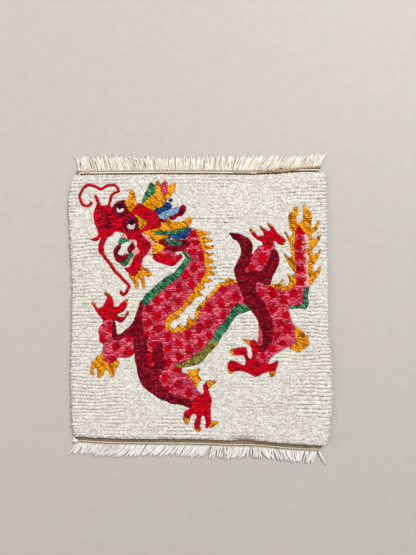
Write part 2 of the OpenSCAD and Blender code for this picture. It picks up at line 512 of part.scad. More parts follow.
// The colour areas from the lowest to the highest: name, outlines, ribbons, ovals
layers = [
    ["body", [body_outline], [], []],
    ["thigh", thigh_outlines, [], []],
    ["tail", tail_outlines, [], []],
    ["forearm", forearm_outlines, [], []],
    ["arm_left", arm_left_outlines, [], []],
    ["scale_marks", tail_bar_outlines, [], scale_ovals],
    ["tail_peach", tail_peach_outlines, [], []],
    ["tail_flames", tail_flame_outlines, [], []],
    ["inner_flames", inner_flame_outlines, [], []],
    ["back_flames", back_flame_outlines, [], []],
    ["belly_olive", belly_olive_outlines, [], []],
    ["belly_green", belly_green_outlines, [], []],
    ["body_shade", body_shade_outlines, [], []],
    ["far_legs", far_leg_outlines, [], []],
    ["neck_shade", neck_shade_outlines, [], []],
    ["neck_scroll", neck_scroll_outlines, [], []],
    ["throat_red", throat_red_outlines, [], []],
    ["throat_pink", throat_pink_outlines, [], []],
    ["mane_burgundy", mane_burgundy_outlines, [], []],
    ["mane_sky", mane_sky_outlines, [], []],
    ["mane_navy", mane_navy_outlines, [], []],
    ["mane_gold", mane_gold_outlines, [], []],
    ["mane_green", mane_green_outlines, [], []],
    ["mane_pink", mane_pink_outlines, [], []],
    ["cheek_peach", cheek_peach_outlines, [], []],
    ["cheek_gold", cheek_gold_outlines, [], []],
    ["lips", lip_outlines, [], []],
    ["mouth_ring", mouth_ring_outlines, [], []],
    ["mouth_green", mouth_green_outlines, [], []],
    ["beard", beard_outlines, [], []],
    ["face", [face_outline], [], []],
    ["snout_shade", snout_shade_outlines, [], []],
    ["eye_rings", eye_ring_outlines, [], []],
    ["eye_whites", eye_white_outlines, [], []],
    ["pupils", pupil_outlines, [], []],
    ["brow", brow_outlines, [], []],
    ["horn", horn_outlines, [], []],
    ["whiskers", [], whisker_paths, []],
    ["elbow_tuft", elbow_tuft_outlines, [], []],
    ["heel_tuft", heel_tuft_outlines, [], []],
    ["knee_tuft", knee_tuft_outlines, [], []],
    ["claws_left", claw_left_outlines, [], []],
    ["paw_left", paw_left_outlines, [], []],
    ["claws_upper", claw_upper_outlines, [], []],
    ["paw_upper", paw_upper_outlines, [], []],
    ["claws_right", claw_right_outlines, [], []],
    ["paw_right", paw_right_outlines, [], []],
    ["claws_bottom", claw_bottom_outlines, [], []],
    ["paw_bottom", paw_bottom_outlines, [], []]
];

function layer_of(name) = search([name], layers)[0];

// ---- building blocks ----

module placed() {
    translate([shift_x, shift_y, 0]) children();
}

// The drawn area of one layer
module drawn(k) {
    for (o = layers[k][1]) polygon(closed(o));
    for (r = layers[k][2]) ribbon(open_curve(r[1], curve_steps), r[0], 8);
    for (e = layers[k][3]) polygon(oval(e));
}

// A layer with every layer above it
module stacked(k) {
    for (j = [k : 1 : len(layers) - 1]) drawn(j);
}

// Children grown by w, with pointed corners but no long spikes
module widened(w) {
    intersection() {
        offset(delta = w) children();
        offset(r = 1.5 * w, $fn = 8) children();
    }
}

// A layer with every layer above it and the narrow slits between them filled
module drawn_from(k) {
    intersection() {
        offset(delta = -slit_r) widened(slit_r) stacked(k);
        offset(r = slit_r, $fn = 8) stacked(k);
    }
}

// Two squares far above and below the mat, so that an offset never turns a shape inside out
module far_marks() {
    for (side = [-1, 1]) translate([0, side * far_y]) square(mark_w, center = true);
}

// Drops slivers and hair-thin tongues, and takes off the last of the groove
module trimmed() {
    offset(delta = 0) intersection() {
        children();
        offset(delta = sliver_r - trim_w) offset(delta = -sliver_r) {
            children();
            far_marks();
        }
    }
}

// What shows of one layer, with half a groove kept free all round it
module sheared(k) {
    difference() {
        offset(delta = trim_w - groove_w / 2) drawn_from(k);
        widened(groove_w / 2) drawn_from(k + 1);
    }
}

// The pile of one layer, standing on the woven ground
module pile(name) {
    placed() translate([0, 0, ground_t]) linear_extrude(height = pile_h) trimmed()
        intersection() {
            sheared(layer_of(name));
            polygon(closed(mat_outline));
        }
}

// A curve moved sideways, square to its own run
function beside(p, d) = [
    for (i = [0 : len(p) - 1])
        let (run = p[min(i + 1, len(p) - 1)] - p[max(i - 1, 0)])
            p[i] + [-run[1], run[0]] * d / norm(run)
];

// A stitched or twined cord: slanted ovals strung along a curve
module twined(path, w, t, pitch) {
    p = open_curve(path, 2);
    run = [for (i = 0, s = 0; i < len(p); i = i + 1, s = s + (i < len(p) ? norm(p[i] - p[i - 1]) : 0)) s];
    total = run[len(run) - 1];
    turns = floor(total / pitch);
    linear_extrude(height = t) offset(delta = -seam_r) offset(delta = seam_r) union() {
        polygon(concat(beside(p, w * 0.36), reversed(beside(p, -w * 0.36))));
        for (n = [0 : turns - 1]) {
            at = (n + 0.5) * total / turns;
            here = [lookup(at, [for (i = [0 : len(p) - 1]) [run[i], p[i][0]]]),
                lookup(at, [for (i = [0 : len(p) - 1]) [run[i], p[i][1]]])];
            next = [lookup(at + 1, [for (i = [0 : len(p) - 1]) [run[i], p[i][0]]]),
                lookup(at + 1, [for (i = [0 : len(p) - 1]) [run[i], p[i][1]]])];
            way = next - here;
            translate(here) rotate(atan2(way[1], way[0]) + 28) scale([pitch * 0.6, w / 2])
                circle(r = 1, $fn = 6);
        }
    }
}

// A curve moved sideways by fixed amounts
function moved(p, dx, dy) = [for (q = p) [q[0] + dx, q[1] + dy]];

// Lines across the two ends, from left to right
top_line = [
    [-296, 319], [-200, 320], [-100, 321], [0, 321], [100, 320], [170, 321], [220, 326], [292, 327]
];
bottom_line = [
    [-292, -303], [-240, -306], [-200, -308], [-100, -309], [0, -310], [60, -312], [140, -314],
    [200, -320], [260, -323], [290, -324]
];
top_band = 9;
bottom_band = 13;

// A flat band between a line and the same line moved along Y
module band(line, from, to, t) {
    linear_extrude(height = t) offset(delta = 0) polygon(concat(
        moved(open_curve(line, 2), 0, from),
        reversed(moved(open_curve(line, 2), 0, to))));
}

// One fringe cord: it leans, bends and tapers to a worn tip
module fringe_cord(at, len, lean, way) {
    w = fringe_w;
    mid = lean * 0.35;
    translate(at) polygon([
        [-w * 0.45, 0], [w * 0.45, 0],
        [w * 0.5 + mid, way * len * 0.5], [w * 0.42 + lean, way * len * 0.9],
        [w * 0.1 + lean * 1.1, way * len], [-w * 0.3 + lean * 1.1, way * len * 0.98],
        [-w * 0.45 + lean, way * len * 0.88], [-w * 0.5 + mid, way * len * 0.5]
    ]);
}

function level(line, x) = lookup(x, line);

// ---- parts ----

module ground_weave() {
    color(flax) placed() linear_extrude(height = ground_t)
        offset(delta = -selvedge_w / 2 - clear) polygon(closed(mat_outline));
}

module selvedge_left() {
    color(ivory) placed()
        twined(moved(side_left, selvedge_w / 2, 0), selvedge_w, selvedge_t, selvedge_pitch);
}

module selvedge_right() {
    color(ivory) placed()
        twined(moved(side_right, -selvedge_w / 2, 0), selvedge_w, selvedge_t, selvedge_pitch);
}

module kilim_top() {
    color(cotton) placed() band(top_line, clear, top_band, heading_t);
}

module kilim_bottom() {
    color(flax) placed() band(bottom_line, -clear, -bottom_band, heading_t);
}

module cord_top() {
    color(flax) placed() translate([0, 0, heading_t])
        twined(moved(top_line, 0, top_band - 5), cord_w, cord_t - heading_t, cord_pitch);
}

module cord_bottom() {
    color(cotton) placed() translate([0, 0, heading_t])
        twined(moved(bottom_line, 0, 3 - bottom_band), cord_w, cord_t - heading_t, cord_pitch);
}

module fringe_top() {
    color(cotton) placed() linear_extrude(height = fringe_t) offset(delta = 0) union()
        for (x = [-292 : fringe_pitch : 288])
            fringe_cord([x, level(top_line, x) + top_band + clear],
                fringe_top_len + 2.5 * sin(x * 37) + 2 * sin(x * 1.3),
                5 * sin(x * 0.9 + 60) + 0.5 * sin(x * 53), 1);
}

module fringe_bottom() {
    color(cotton) placed() linear_extrude(height = fringe_t) offset(delta = 0) union()
        for (x = [-288 : fringe_pitch : 286])
            fringe_cord([x, level(bottom_line, x) - bottom_band - clear],
                fringe_bottom_len + 2.5 * sin(x * 41) + 1.5 * sin(x * 1.7),
                -5 * cos(x * 0.55) + 0.5 * sin(x * 47), -1);
}

module field_pile() {
    color(ivory) placed() translate([0, 0, ground_t]) linear_extrude(height = pile_h) trimmed()
        difference() {
            polygon(closed(mat_outline));
            widened(groove_w / 2) drawn_from(0);
        }
}

module body() { color(rose) pile("body"); }
module thigh() { color(rose) pile("thigh"); }
module tail() { color(rose) pile("tail"); }
module forearm() { color(rose) pile("forearm"); }
module arm_left() { color(rose) pile("arm_left"); }
module scale_marks() { color(red) pile("scale_marks"); }
module tail_peach() { color(peach) pile("tail_peach"); }
module tail_flames() { color(gold) pile("tail_flames"); }
module inner_flames() { color(gold) pile("inner_flames"); }
module back_flames() { color(gold) pile("back_flames"); }
module belly_olive() { color(olive) pile("belly_olive"); }
module belly_green() { color(green) pile("belly_green"); }
module body_shade() { color(burgundy) pile("body_shade"); }
module far_legs() { color(burgundy) pile("far_legs"); }
module neck_shade() { color(burgundy) pile("neck_shade"); }
module neck_scroll() { color(green) pile("neck_scroll"); }
module throat_red() { color(red) pile("throat_red"); }
module throat_pink() { color(rose) pile("throat_pink"); }
module mane_burgundy() { color(burgundy) pile("mane_burgundy"); }
module mane_sky() { color(sky) pile("mane_sky"); }
module mane_navy() { color(navy) pile("mane_navy"); }
module mane_gold() { color(gold) pile("mane_gold"); }
module mane_green() { color(green) pile("mane_green"); }
module mane_pink() { color(rose) pile("mane_pink"); }
module cheek_peach() { color(peach) pile("cheek_peach"); }
module cheek_gold() { color(gold) pile("cheek_gold"); }
module lips() { color(peach) pile("lips"); }
module mouth_ring() { color(burgundy) pile("mouth_ring"); }
module mouth_green() { color(green) pile("mouth_green"); }
module beard() { color(gold) pile("beard"); }
module face() { color(red) pile("face"); }
module snout_shade() { color(burgundy) pile("snout_shade"); }
module eye_rings() { color(burgundy) pile("eye_rings"); }
module eye_whites() { color(ivory) pile("eye_whites"); }
module pupils() { color(black) pile("pupils"); }
module brow() { color(gold) pile("brow"); }
module horn() { color(gold) pile("horn"); }
module whiskers() { color(red) pile("whiskers"); }
module elbow_tuft() { color(gold) pile("elbow_tuft"); }
module heel_tuft() { color(gold) pile("heel_tuft"); }
module knee_tuft() { color(gold) pile("knee_tuft"); }
module claws_left() { color(gold) pile("claws_left"); }
module paw_left() { color(red) pile("paw_left"); }
module claws_upper() { color(gold) pile("claws_upper"); }
module paw_upper() { color(red) pile("paw_upper"); }
module claws_right() { color(gold) pile("claws_right"); }
module paw_right() { color(red) pile("paw_right"); }
module claws_bottom() { color(gold) pile("claws_bottom"); }
module paw_bottom() { color(red) pile("paw_bottom"); }

ground_weave();
selvedge_left();
selvedge_right();
kilim_top();
kilim_bottom();
cord_top();
cord_bottom();
fringe_top();
fringe_bottom();
field_pile();
body();
thigh();
tail();
forearm();
arm_left();
scale_marks();
tail_peach();
tail_flames();
inner_flames();
back_flames();
belly_olive();
belly_green();
body_shade();
far_legs();
neck_shade();
neck_scroll();
throat_red();
throat_pink();
mane_burgundy();
mane_sky();
mane_navy();
mane_gold();
mane_green();
mane_pink();
cheek_peach();
cheek_gold();
lips();
mouth_ring();
mouth_green();
beard();
face();
snout_shade();
eye_rings();
eye_whites();
pupils();
brow();
horn();
whiskers();
elbow_tuft();
heel_tuft();
knee_tuft();
claws_left();
paw_left();
claws_upper();
paw_upper();
claws_right();
paw_right();
claws_bottom();
paw_bottom();
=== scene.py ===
"""Looks of the dragon pile mat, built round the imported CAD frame.

Every pile area is grown as yarn tufts inside the outline of its own CAD node, so the
motif's shape comes from the frame. Lengths are in metres.
"""

import json
import math

import bpy
import numpy as np
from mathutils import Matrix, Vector


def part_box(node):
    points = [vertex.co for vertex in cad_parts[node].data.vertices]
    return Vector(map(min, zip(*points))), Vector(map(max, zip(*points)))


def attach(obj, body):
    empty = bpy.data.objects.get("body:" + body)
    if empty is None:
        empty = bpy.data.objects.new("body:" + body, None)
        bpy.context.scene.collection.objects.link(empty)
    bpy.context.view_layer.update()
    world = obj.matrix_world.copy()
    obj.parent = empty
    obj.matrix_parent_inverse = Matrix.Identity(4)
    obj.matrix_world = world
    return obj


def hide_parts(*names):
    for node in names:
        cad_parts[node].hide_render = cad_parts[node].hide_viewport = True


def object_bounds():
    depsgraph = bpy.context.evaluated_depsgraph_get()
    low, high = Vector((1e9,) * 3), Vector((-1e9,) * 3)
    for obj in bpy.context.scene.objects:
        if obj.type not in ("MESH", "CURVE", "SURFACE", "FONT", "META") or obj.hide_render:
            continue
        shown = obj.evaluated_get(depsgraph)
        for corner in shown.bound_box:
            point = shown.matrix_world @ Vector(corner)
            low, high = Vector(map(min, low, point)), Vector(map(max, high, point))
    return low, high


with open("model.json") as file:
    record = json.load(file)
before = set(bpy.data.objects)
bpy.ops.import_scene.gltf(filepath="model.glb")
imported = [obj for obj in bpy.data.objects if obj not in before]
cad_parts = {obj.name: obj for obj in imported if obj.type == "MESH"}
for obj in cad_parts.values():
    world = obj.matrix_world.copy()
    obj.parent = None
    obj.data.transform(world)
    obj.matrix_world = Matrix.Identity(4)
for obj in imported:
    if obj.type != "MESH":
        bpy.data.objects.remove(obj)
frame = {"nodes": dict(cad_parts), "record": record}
cad_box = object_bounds()
NODES = frame["nodes"]
MM = 0.001
rng = np.random.default_rng(20)

# -------------------- scene set-up

# the photo's camera: place in metres, tilt in radians, lens and sensor in millimetres
CAMERA_AT = (0.02203, 0.02587, 1.009)
CAMERA_TILT = 0.04178
LENS = 27.05
SENSOR = 36.0
# each lamp's place, size in metres, power in watts and colour
LAMPS = {
    "key": ((1.9, 2.9, 3.5), (1.5, 1.2), 208.0, (0.985, 0.99, 1.0)),
    "fill": ((-2.2, 0.4, 2.0), (2.0, 2.0), 26.0, (1.0, 0.93, 0.82)),
}
SKY_COLOUR = (0.93, 0.96, 1.0, 1.0)
SKY_STRENGTH = 0.55


def make_camera():
    data = bpy.data.cameras.new("camera")
    data.lens = LENS
    data.sensor_width = SENSOR
    data.clip_start = 0.01
    data.clip_end = 50.0
    cam = bpy.data.objects.new("camera", data)
    cam.location = CAMERA_AT
    cam.rotation_euler = (CAMERA_TILT, 0.0, 0.0)
    bpy.context.collection.objects.link(cam)
    bpy.context.scene.camera = cam


def area_light(name, at, size, power, colour):
    """A rectangular lamp that points at the middle of the mat."""
    data = bpy.data.lights.new(name, "AREA")
    data.shape = "RECTANGLE"
    data.size, data.size_y = size
    data.energy = power
    data.color = colour
    lamp = bpy.data.objects.new(name, data)
    lamp.location = at
    lamp.rotation_euler = (-Vector(at)).to_track_quat("-Z", "Y").to_euler()
    bpy.context.collection.objects.link(lamp)


def make_world():
    world = bpy.data.worlds.new("world")
    world.use_nodes = True
    back = world.node_tree.nodes["Background"]
    back.inputs["Color"].default_value = SKY_COLOUR
    back.inputs["Strength"].default_value = SKY_STRENGTH
    bpy.context.scene.world = world
    view = bpy.context.scene.view_settings
    view.view_transform = "Standard"
    view.look = "None"
    view.exposure = 0.0


make_camera()
make_world()
for lamp_name, lamp in LAMPS.items():
    area_light(lamp_name, *lamp)

# -------------------- small tools

NOISE_CELLS = 256


def smooth_noise(x, y, size, seed):
    """Smooth random field from -1 to 1 with features of the given size."""
    grid = np.random.default_rng(seed).uniform(-1, 1, (NOISE_CELLS + 1, NOISE_CELLS + 1))
    u, v = x / size + NOISE_CELLS / 2, y / size + NOISE_CELLS / 2
    i, j = np.floor(u).astype(int), np.floor(v).astype(int)
    a, b = u - i, v - j
    a, b = a * a * (3 - 2 * a), b * b * (3 - 2 * b)
    i, j = i % NOISE_CELLS, j % NOISE_CELLS
    low = grid[i, j] * (1 - a) + grid[i + 1, j] * a
    high = grid[i, j + 1] * (1 - a) + grid[i + 1, j + 1] * a
    return low * (1 - b) + high * b


def ramp(x, lo, hi):
    """Smooth step from 0 where x is lo to 1 where it is hi."""
    t = np.clip((x - lo) / (hi - lo), 0.0, 1.0)
    return t * t * (3 - 2 * t)


def build(name, verts, faces, attributes=None, smooth=True):
    """A mesh object from vertices, arrays of equal-sided faces, and point attributes."""
    me = bpy.data.meshes.new(name)
    verts = np.ascontiguousarray(verts, dtype=np.float32)
    loops = np.concatenate([f.ravel() for f in faces]).astype(np.int32)
    sizes = np.concatenate([np.full(len(f), f.shape[1]) for f in faces])
    starts = np.concatenate([[0], np.cumsum(sizes)[:-1]]).astype(np.int32)
    me.vertices.add(len(verts))
    me.vertices.foreach_set("co", verts.ravel())
    me.loops.add(len(loops))
    me.loops.foreach_set("vertex_index", loops)
    me.polygons.add(len(starts))
    me.polygons.foreach_set("loop_start", starts)
    me.polygons.foreach_set("use_smooth", np.full(len(starts), smooth))
    me.update(calc_edges=True)
    for key, values in (attributes or {}).items():
        layer = me.attributes.new(key, "FLOAT", "POINT")
        layer.data.foreach_set("value", np.asarray(values, dtype=np.float32))
    low, high = verts[:, :2].min(0), verts[:, :2].max(0)
    flat = (verts[:, :2] - low) / max((high - low).max(), 1e-6)
    uv = me.uv_layers.new(name="OFBake")
    uv.data.foreach_set("uv", flat[loops].astype(np.float32).ravel())
    me.validate()
    obj = bpy.data.objects.new(name, me)
    bpy.context.collection.objects.link(obj)
    return obj


def node_mesh(name):
    """Vertices and triangles of a CAD node."""
    me = NODES[name].data
    co = np.empty(len(me.vertices) * 3)
    me.vertices.foreach_get("co", co)
    me.calc_loop_triangles()
    tri = np.empty(len(me.loop_triangles) * 3, dtype=np.int64)
    me.loop_triangles.foreach_get("vertices", tri)
    return co.reshape(-1, 3), tri.reshape(-1, 3)


# -------------------- where each colour is

# the mat seen from above is sampled on a grid of cells
CELL = 0.5 * MM
GRID_MARGIN = 4 * MM
MICRONS = 1e6
plan_low, plan_high = (np.array(corner[:2]) for corner in cad_box)
GRID_LOW = plan_low - GRID_MARGIN
GRID_SIZE = np.ceil((plan_high - plan_low + 2 * GRID_MARGIN) / CELL).astype(int)


def merged(points):
    """Points rounded to a micrometre, each kept once, and where each old one went."""
    whole = np.round(points * MICRONS).astype(np.int64)
    flat, index = np.unique(whole, axis=0, return_inverse=True)
    return flat / MICRONS, index.reshape(-1)


def outline_edges(name):
    """Edges round the top face of a CAD node, as pairs of points."""
    co, tri = node_mesh(name)
    tri = tri[(np.abs(co[tri][:, :, 2] - co[:, 2].max()) < 1e-5).all(1)]
    flat, index = merged(co[:, :2])
    edges = index[tri][:, [0, 1, 1, 2, 2, 0]].reshape(-1, 2)
    edges, uses = np.unique(np.sort(edges, 1), axis=0, return_counts=True)
    edges = edges[uses == 1]
    return flat[edges[:, 0]], flat[edges[:, 1]]


def filled(name):
    """Grid cells inside the outline of a CAD node, by crossings along each column."""
    flips = np.zeros(GRID_SIZE + 1, dtype=np.int32)
    for a, b in zip(*outline_edges(name)):
        if a[0] > b[0]:
            a, b = b, a
        first = math.ceil((a[0] - GRID_LOW[0]) / CELL - 0.5)
        last = math.ceil((b[0] - GRID_LOW[0]) / CELL - 0.5)
        if last <= first:
            continue
        i = np.arange(first, last)
        x = GRID_LOW[0] + (i + 0.5) * CELL
        y = a[1] + (b[1] - a[1]) * (x - a[0]) / (b[0] - a[0])
        j = np.ceil((y - GRID_LOW[1]) / CELL - 0.5).astype(int)
        np.add.at(flips, (i, j), 1)
    return (np.cumsum(flips, axis=1)[:-1, :-1] % 2).astype(bool)


def spread(label):
    """Unlabelled cells next to a labelled one take its label."""
    for axis, step in ((0, 1), (0, -1), (1, 1), (1, -1)):
        near = np.roll(label, step, axis)
        label = np.where((label < 0) & (near >= 0), near, label)
    return label


def eroded(mask):
    """The mask less the cells along its border."""
    for axis, step in ((0, 1), (0, -1), (1, 1), (1, -1)):
        mask = mask & np.roll(mask, step, axis)
    return mask


def distance(edge, reach):
    """Distance from every cell to the nearest marked one, up to reach cells."""
    n = np.arange(edge.shape[1])[None, :]
    far = 4 * reach
    left = n - np.maximum.accumulate(np.where(edge, n, -far), axis=1)
    after = np.where(edge, n, n[0, -1] + far)[:, ::-1]
    right = np.minimum.accumulate(after, axis=1)[:, ::-1] - n
    line = np.minimum(np.minimum(left, right), far).astype(np.float32) ** 2
    best = line.copy()
    for step in range(1, reach + 1):
        for way in (step, -step):
            best = np.minimum(best, np.roll(line, way, 0) + step * step)
    return np.sqrt(best) * CELL


SKIP = {
    "ground_weave", "selvedge_left", "selvedge_right", "kilim_top", "kilim_bottom",
    "cord_top", "cord_bottom", "fringe_top", "fringe_bottom",
}
SLOTS = {s["node"]: s["material_slot"] for s in frame["record"]["subparts"]}
PILE = [n for n in sorted(NODES) if n not in SKIP]
COLOURS = sorted({SLOTS[n] for n in PILE})
# cells that bridge half of a carved line between two areas
HALF_CARVE = 3

label = np.full(GRID_SIZE, -1, dtype=np.int32)
for k, name in enumerate(PILE):
    label[filled(name)] = k
for _ in range(HALF_CARVE):
    label = spread(label)
mat = label >= 0
for _ in range(HALF_CARVE):
    mat = eroded(mat)
label[~mat] = -1
# knots of these pairs meet without a carved line between them
CARVED_AS = {"scale_marks": "body", "snout_shade": "face", "tail_peach": "tail"}
carve_of = np.array([COLOURS.index(SLOTS[CARVED_AS.get(n, n)]) for n in PILE] + [-1])
group = carve_of[label]
edge = np.zeros(group.shape, dtype=bool)
edge[1:] |= (group[1:] != group[:-1]) & mat[1:] & mat[:-1]
edge[:, 1:] |= (group[:, 1:] != group[:, :-1]) & mat[:, 1:] & mat[:, :-1]
# distances are worked out up to this many cells
REACH = 20
to_edge = distance(edge, REACH)
to_rim = distance((mat != np.roll(mat, 1, 0)) | (mat != np.roll(mat, 1, 1)), REACH)


def softened(field):
    """The field averaged over three cells each way."""
    for axis in (0, 1):
        field = (np.roll(field, 1, axis) + field + np.roll(field, -1, axis)) / 3
    return field


# the narrow bands of the motif are of these wools
BANDS = {"green_wool", "olive_wool", "gold_wool", "sky_wool"}
IS_FIELD = np.array([n == "field_pile" for n in PILE] + [False])
IS_BAND = np.array([SLOTS[n] in BANDS for n in PILE] + [False])
edge_pull = np.stack(np.gradient(softened(softened(to_edge)), CELL), axis=-1)
rim_pull = np.stack(np.gradient(softened(softened(to_rim)), CELL), axis=-1)


def cell_of(x, y):
    """The grid cell that each place lies in."""
    i = np.clip(((x - GRID_LOW[0]) / CELL).astype(int), 0, GRID_SIZE[0] - 1)
    j = np.clip(((y - GRID_LOW[1]) / CELL).astype(int), 0, GRID_SIZE[1] - 1)
    return i, j


# -------------------- tufts

# pitch of the knots, where tufts stand from outlines and borders, and their least gaps
KNOT_X = 3.2 * MM
KNOT_Y = 4.3 * MM
EDGE_INSET = 1.35 * MM
EDGE_GAP = 2.4 * MM
FILL_GAP = 2.2 * MM
RIM_INSET = 1.5 * MM
TAIL_INSET = 2.8 * MM
HEAD_INSET = 3.6 * MM
# how far in from an end the rows follow its curve
END_FADE = 150 * MM
# cells left out at each corner, and cells that an end is averaged over
CORNER_CELLS = 50
END_WINDOW = 61


def pile_ends(axis):
    """Where the pile starts and stops along one axis, for places along the other."""
    on = mat if axis == 1 else mat.T
    rows = np.nonzero(on.any(1))[0][CORNER_CELLS:-CORNER_CELLS]
    first = GRID_LOW[axis] + CELL * on[rows].argmax(1)
    last = GRID_LOW[axis] + CELL * (on.shape[1] - on[rows, ::-1].argmax(1))
    at = GRID_LOW[1 - axis] + CELL * (rows + 0.5)
    window = np.ones(END_WINDOW) / END_WINDOW
    padded = [np.pad(v, END_WINDOW // 2, mode="edge") for v in (first, last)]
    return [at] + [np.convolve(v, window, mode="valid") for v in padded]


ACROSS, TAIL_END, HEAD_END = pile_ends(1)
ALONG, LEFT_END, RIGHT_END = pile_ends(0)
FIRST_ROW = TAIL_END.mean() + TAIL_INSET
LAST_ROW = HEAD_END.mean() - HEAD_INSET
ROWS = int(round((LAST_ROW - FIRST_ROW) / KNOT_Y)) + 1
ROW_PITCH = (LAST_ROW - FIRST_ROW) / (ROWS - 1)
KNOTS = int(round((RIGHT_END - LEFT_END).mean() / KNOT_X))


def row_shift(x, y):
    """How far a knotted row lies from its even place: rows follow both ends and wander."""
    from_tail = y - FIRST_ROW
    from_head = LAST_ROW - y
    tail_curve = np.interp(x, ACROSS, TAIL_END) - TAIL_END.mean()
    head_curve = np.interp(x, ACROSS, HEAD_END) - HEAD_END.mean()
    shift = tail_curve * (1 - ramp(from_tail, 0, END_FADE))
    shift = shift + head_curve * (1 - ramp(from_head, 0, END_FADE))
    inner = ramp(np.minimum(from_tail, from_head), 0, 30 * MM)
    wander = 2.4 * MM * smooth_noise(x, y, 62 * MM, 3)
    wander = wander + 1.2 * MM * smooth_noise(x, y, 21 * MM, 4)
    return shift + wander * inner


def thinned(points, gap, taken=None):
    """Keeps points one by one that are at least gap from every kept point."""
    table = {} if taken is None else taken
    keep = []
    g2 = gap * gap
    for n, (x, y) in enumerate(points):
        i, j = int(x // gap), int(y // gap)
        clear = True
        for a in (i - 1, i, i + 1):
            for b in (j - 1, j, j + 1):
                for px, py in table.get((a, b), ()):
                    if (px - x) ** 2 + (py - y) ** 2 < g2:
                        clear = False
                        break
                if not clear:
                    break
            if not clear:
                break
        if clear:
            table.setdefault((i, j), []).append((x, y))
            keep.append(n)
    return np.array(keep, dtype=int), table


def edge_tufts():
    """Tufts that follow every outline between two colours, just inside it."""
    on_line = np.abs(to_edge - EDGE_INSET) < 0.6 * CELL
    i, j = np.nonzero(on_line & (to_rim > RIM_INSET) & mat)
    order = rng.permutation(len(i))
    i, j = i[order], j[order]
    at = np.stack([GRID_LOW[0] + (i + 0.5) * CELL, GRID_LOW[1] + (j + 0.5) * CELL], 1)
    owner = label[i, j]
    return np.concatenate([
        at[owner == k][thinned(at[owner == k], EDGE_GAP)[0]] for k in np.unique(owner)
    ])


def ridge_patch(x, y):
    """How strongly pairs of rows stand out as one ridge, from 0 to 1."""
    at_sides = ramp(np.abs(x), 0.19, 0.30)
    return ramp(smooth_noise(x / 2.2, y, 30 * MM, 8) + 0.5 * at_sides, -0.3, 0.9)


# how far tufts stray: row ends (spread), and every tuft either way
ROW_END_STRAY = 0.7 * MM
TUFT_STRAY = 0.85 * MM
# rows of a pair stand this much closer where the pair makes a ridge
PAIR_PULL = 0.5 * MM


def row_tufts(edge_points):
    """Tufts in knotted rows from side to side, every second row half a knot over."""
    knot, row = np.meshgrid(np.arange(KNOTS), np.arange(ROWS), indexing="ij")
    even_y = FIRST_ROW + row * ROW_PITCH
    stray = rng.normal(0, ROW_END_STRAY, (2, ROWS))[:, row]
    left = np.interp(even_y, ALONG, LEFT_END) + stray[0]
    right = np.interp(even_y, ALONG, RIGHT_END) + stray[1]
    part = (knot + 0.5 * (row % 2)) / (KNOTS - 0.5)
    x = left + RIM_INSET + (right - left - 2 * RIM_INSET) * part
    y = even_y + row_shift(x, even_y)
    i, j = cell_of(x, y)
    pair = IS_FIELD[label[i, j]] * (1 - 2 * (row % 2)) * ridge_patch(x, y)
    y = y + PAIR_PULL * pair
    # the first and last rows stay straight
    loose = ramp(np.minimum(y - FIRST_ROW, LAST_ROW - y), -1 * MM, 6 * MM)
    x = (x + TUFT_STRAY * rng.uniform(-1, 1, loose.shape)).ravel()
    y = (y + TUFT_STRAY * loose * rng.uniform(-1, 1, loose.shape)).ravel()
    i, j = cell_of(x, y)
    ok = (label[i, j] >= 0) & (to_edge[i, j] > EDGE_INSET + 0.8 * MM)
    x, y, i, j = x[ok], y[ok], i[ok], j[ok]
    near = to_edge[i, j] < EDGE_INSET + 3.2 * MM
    table = {}
    for px, py in edge_points:
        table.setdefault((int(px // FILL_GAP), int(py // FILL_GAP)), []).append((px, py))
    close = np.stack([x[near], y[near]], 1)
    kept = thinned(close, FILL_GAP, table)[0]
    return np.concatenate([np.stack([x[~near], y[~near]], 1), close[kept]])


SIDES = 8
# every second side of a tuft bulges, as the plies of its yarn do
LOBES = np.where(np.arange(SIDES) % 2 == 0, 1.0, -1.0)
PLY_DEPTH = 0.14
# rings of a tuft from root to tip: radius over the tuft's own, and share of its lean
RING_R = np.array([0.90, 1.18, 0.95, 0.60])
RING_LEAN = np.array([0.0, 0.70, 0.925, 0.99]) ** 1.6
GROUND_Z = 2.4 * MM
PILE_TOP = 15.0 * MM
# the pile is pressed down here at the tail end: place and half widths
DIMPLE = (0.106, -0.319, 25 * MM, 11 * MM)
DIMPLE_DEPTH = 6.5 * MM

# the pairs below are for the ivory field and for the motif
RING_DROP = np.array([[0.0, 1.7, 0.65, 0.12], [0.0, 2.6, 1.25, 0.22]]) * MM
# how far up each ring stands, from 0 at the ground; the low rings take the wool's painted shade
RING_DEPTH = np.array([[0.0, 0.74, 0.93, 1.0], [0.0, 0.66, 0.84, 1.0]])
# half widths of a tuft
LONG_R = (3.3 * MM, 3.4 * MM)
SHORT_R = (2.7 * MM, 2.05 * MM)
# height over the field, bumps a few tufts wide, and spread from tuft to tuft
LIFT = (0.0, 0.6 * MM)
BUMPS = (0.95 * MM, 0.15 * MM)
UNEVEN = (0.34 * MM, 0.32 * MM)
# spread of the way the flattened tufts lie, and how closely they follow an outline
SLANT_SPREAD = (0.8, 0.5)
FOLLOW = (0.4, 1.0)
# depth and reach of the line carved round each colour
CARVE = (1.4 * MM, 1.0 * MM)
CARVE_REACH = (3.4 * MM, 2.4 * MM)
ROW_HEIGHT = (0.06 * MM, 0.22 * MM)
# how far tips lean along and across the mat at its border, and spread of the lean
BORDER_LEAN = (1.5 * MM, 0.3 * MM)
LEAN_SPREAD = 0.45 * MM


def pressed(x, y):
    """How far the pile is pressed down, from 0 to 1."""
    return np.exp(-(((x - DIMPLE[0]) / DIMPLE[2]) ** 2) - ((y - DIMPLE[1]) / DIMPLE[3]) ** 2)


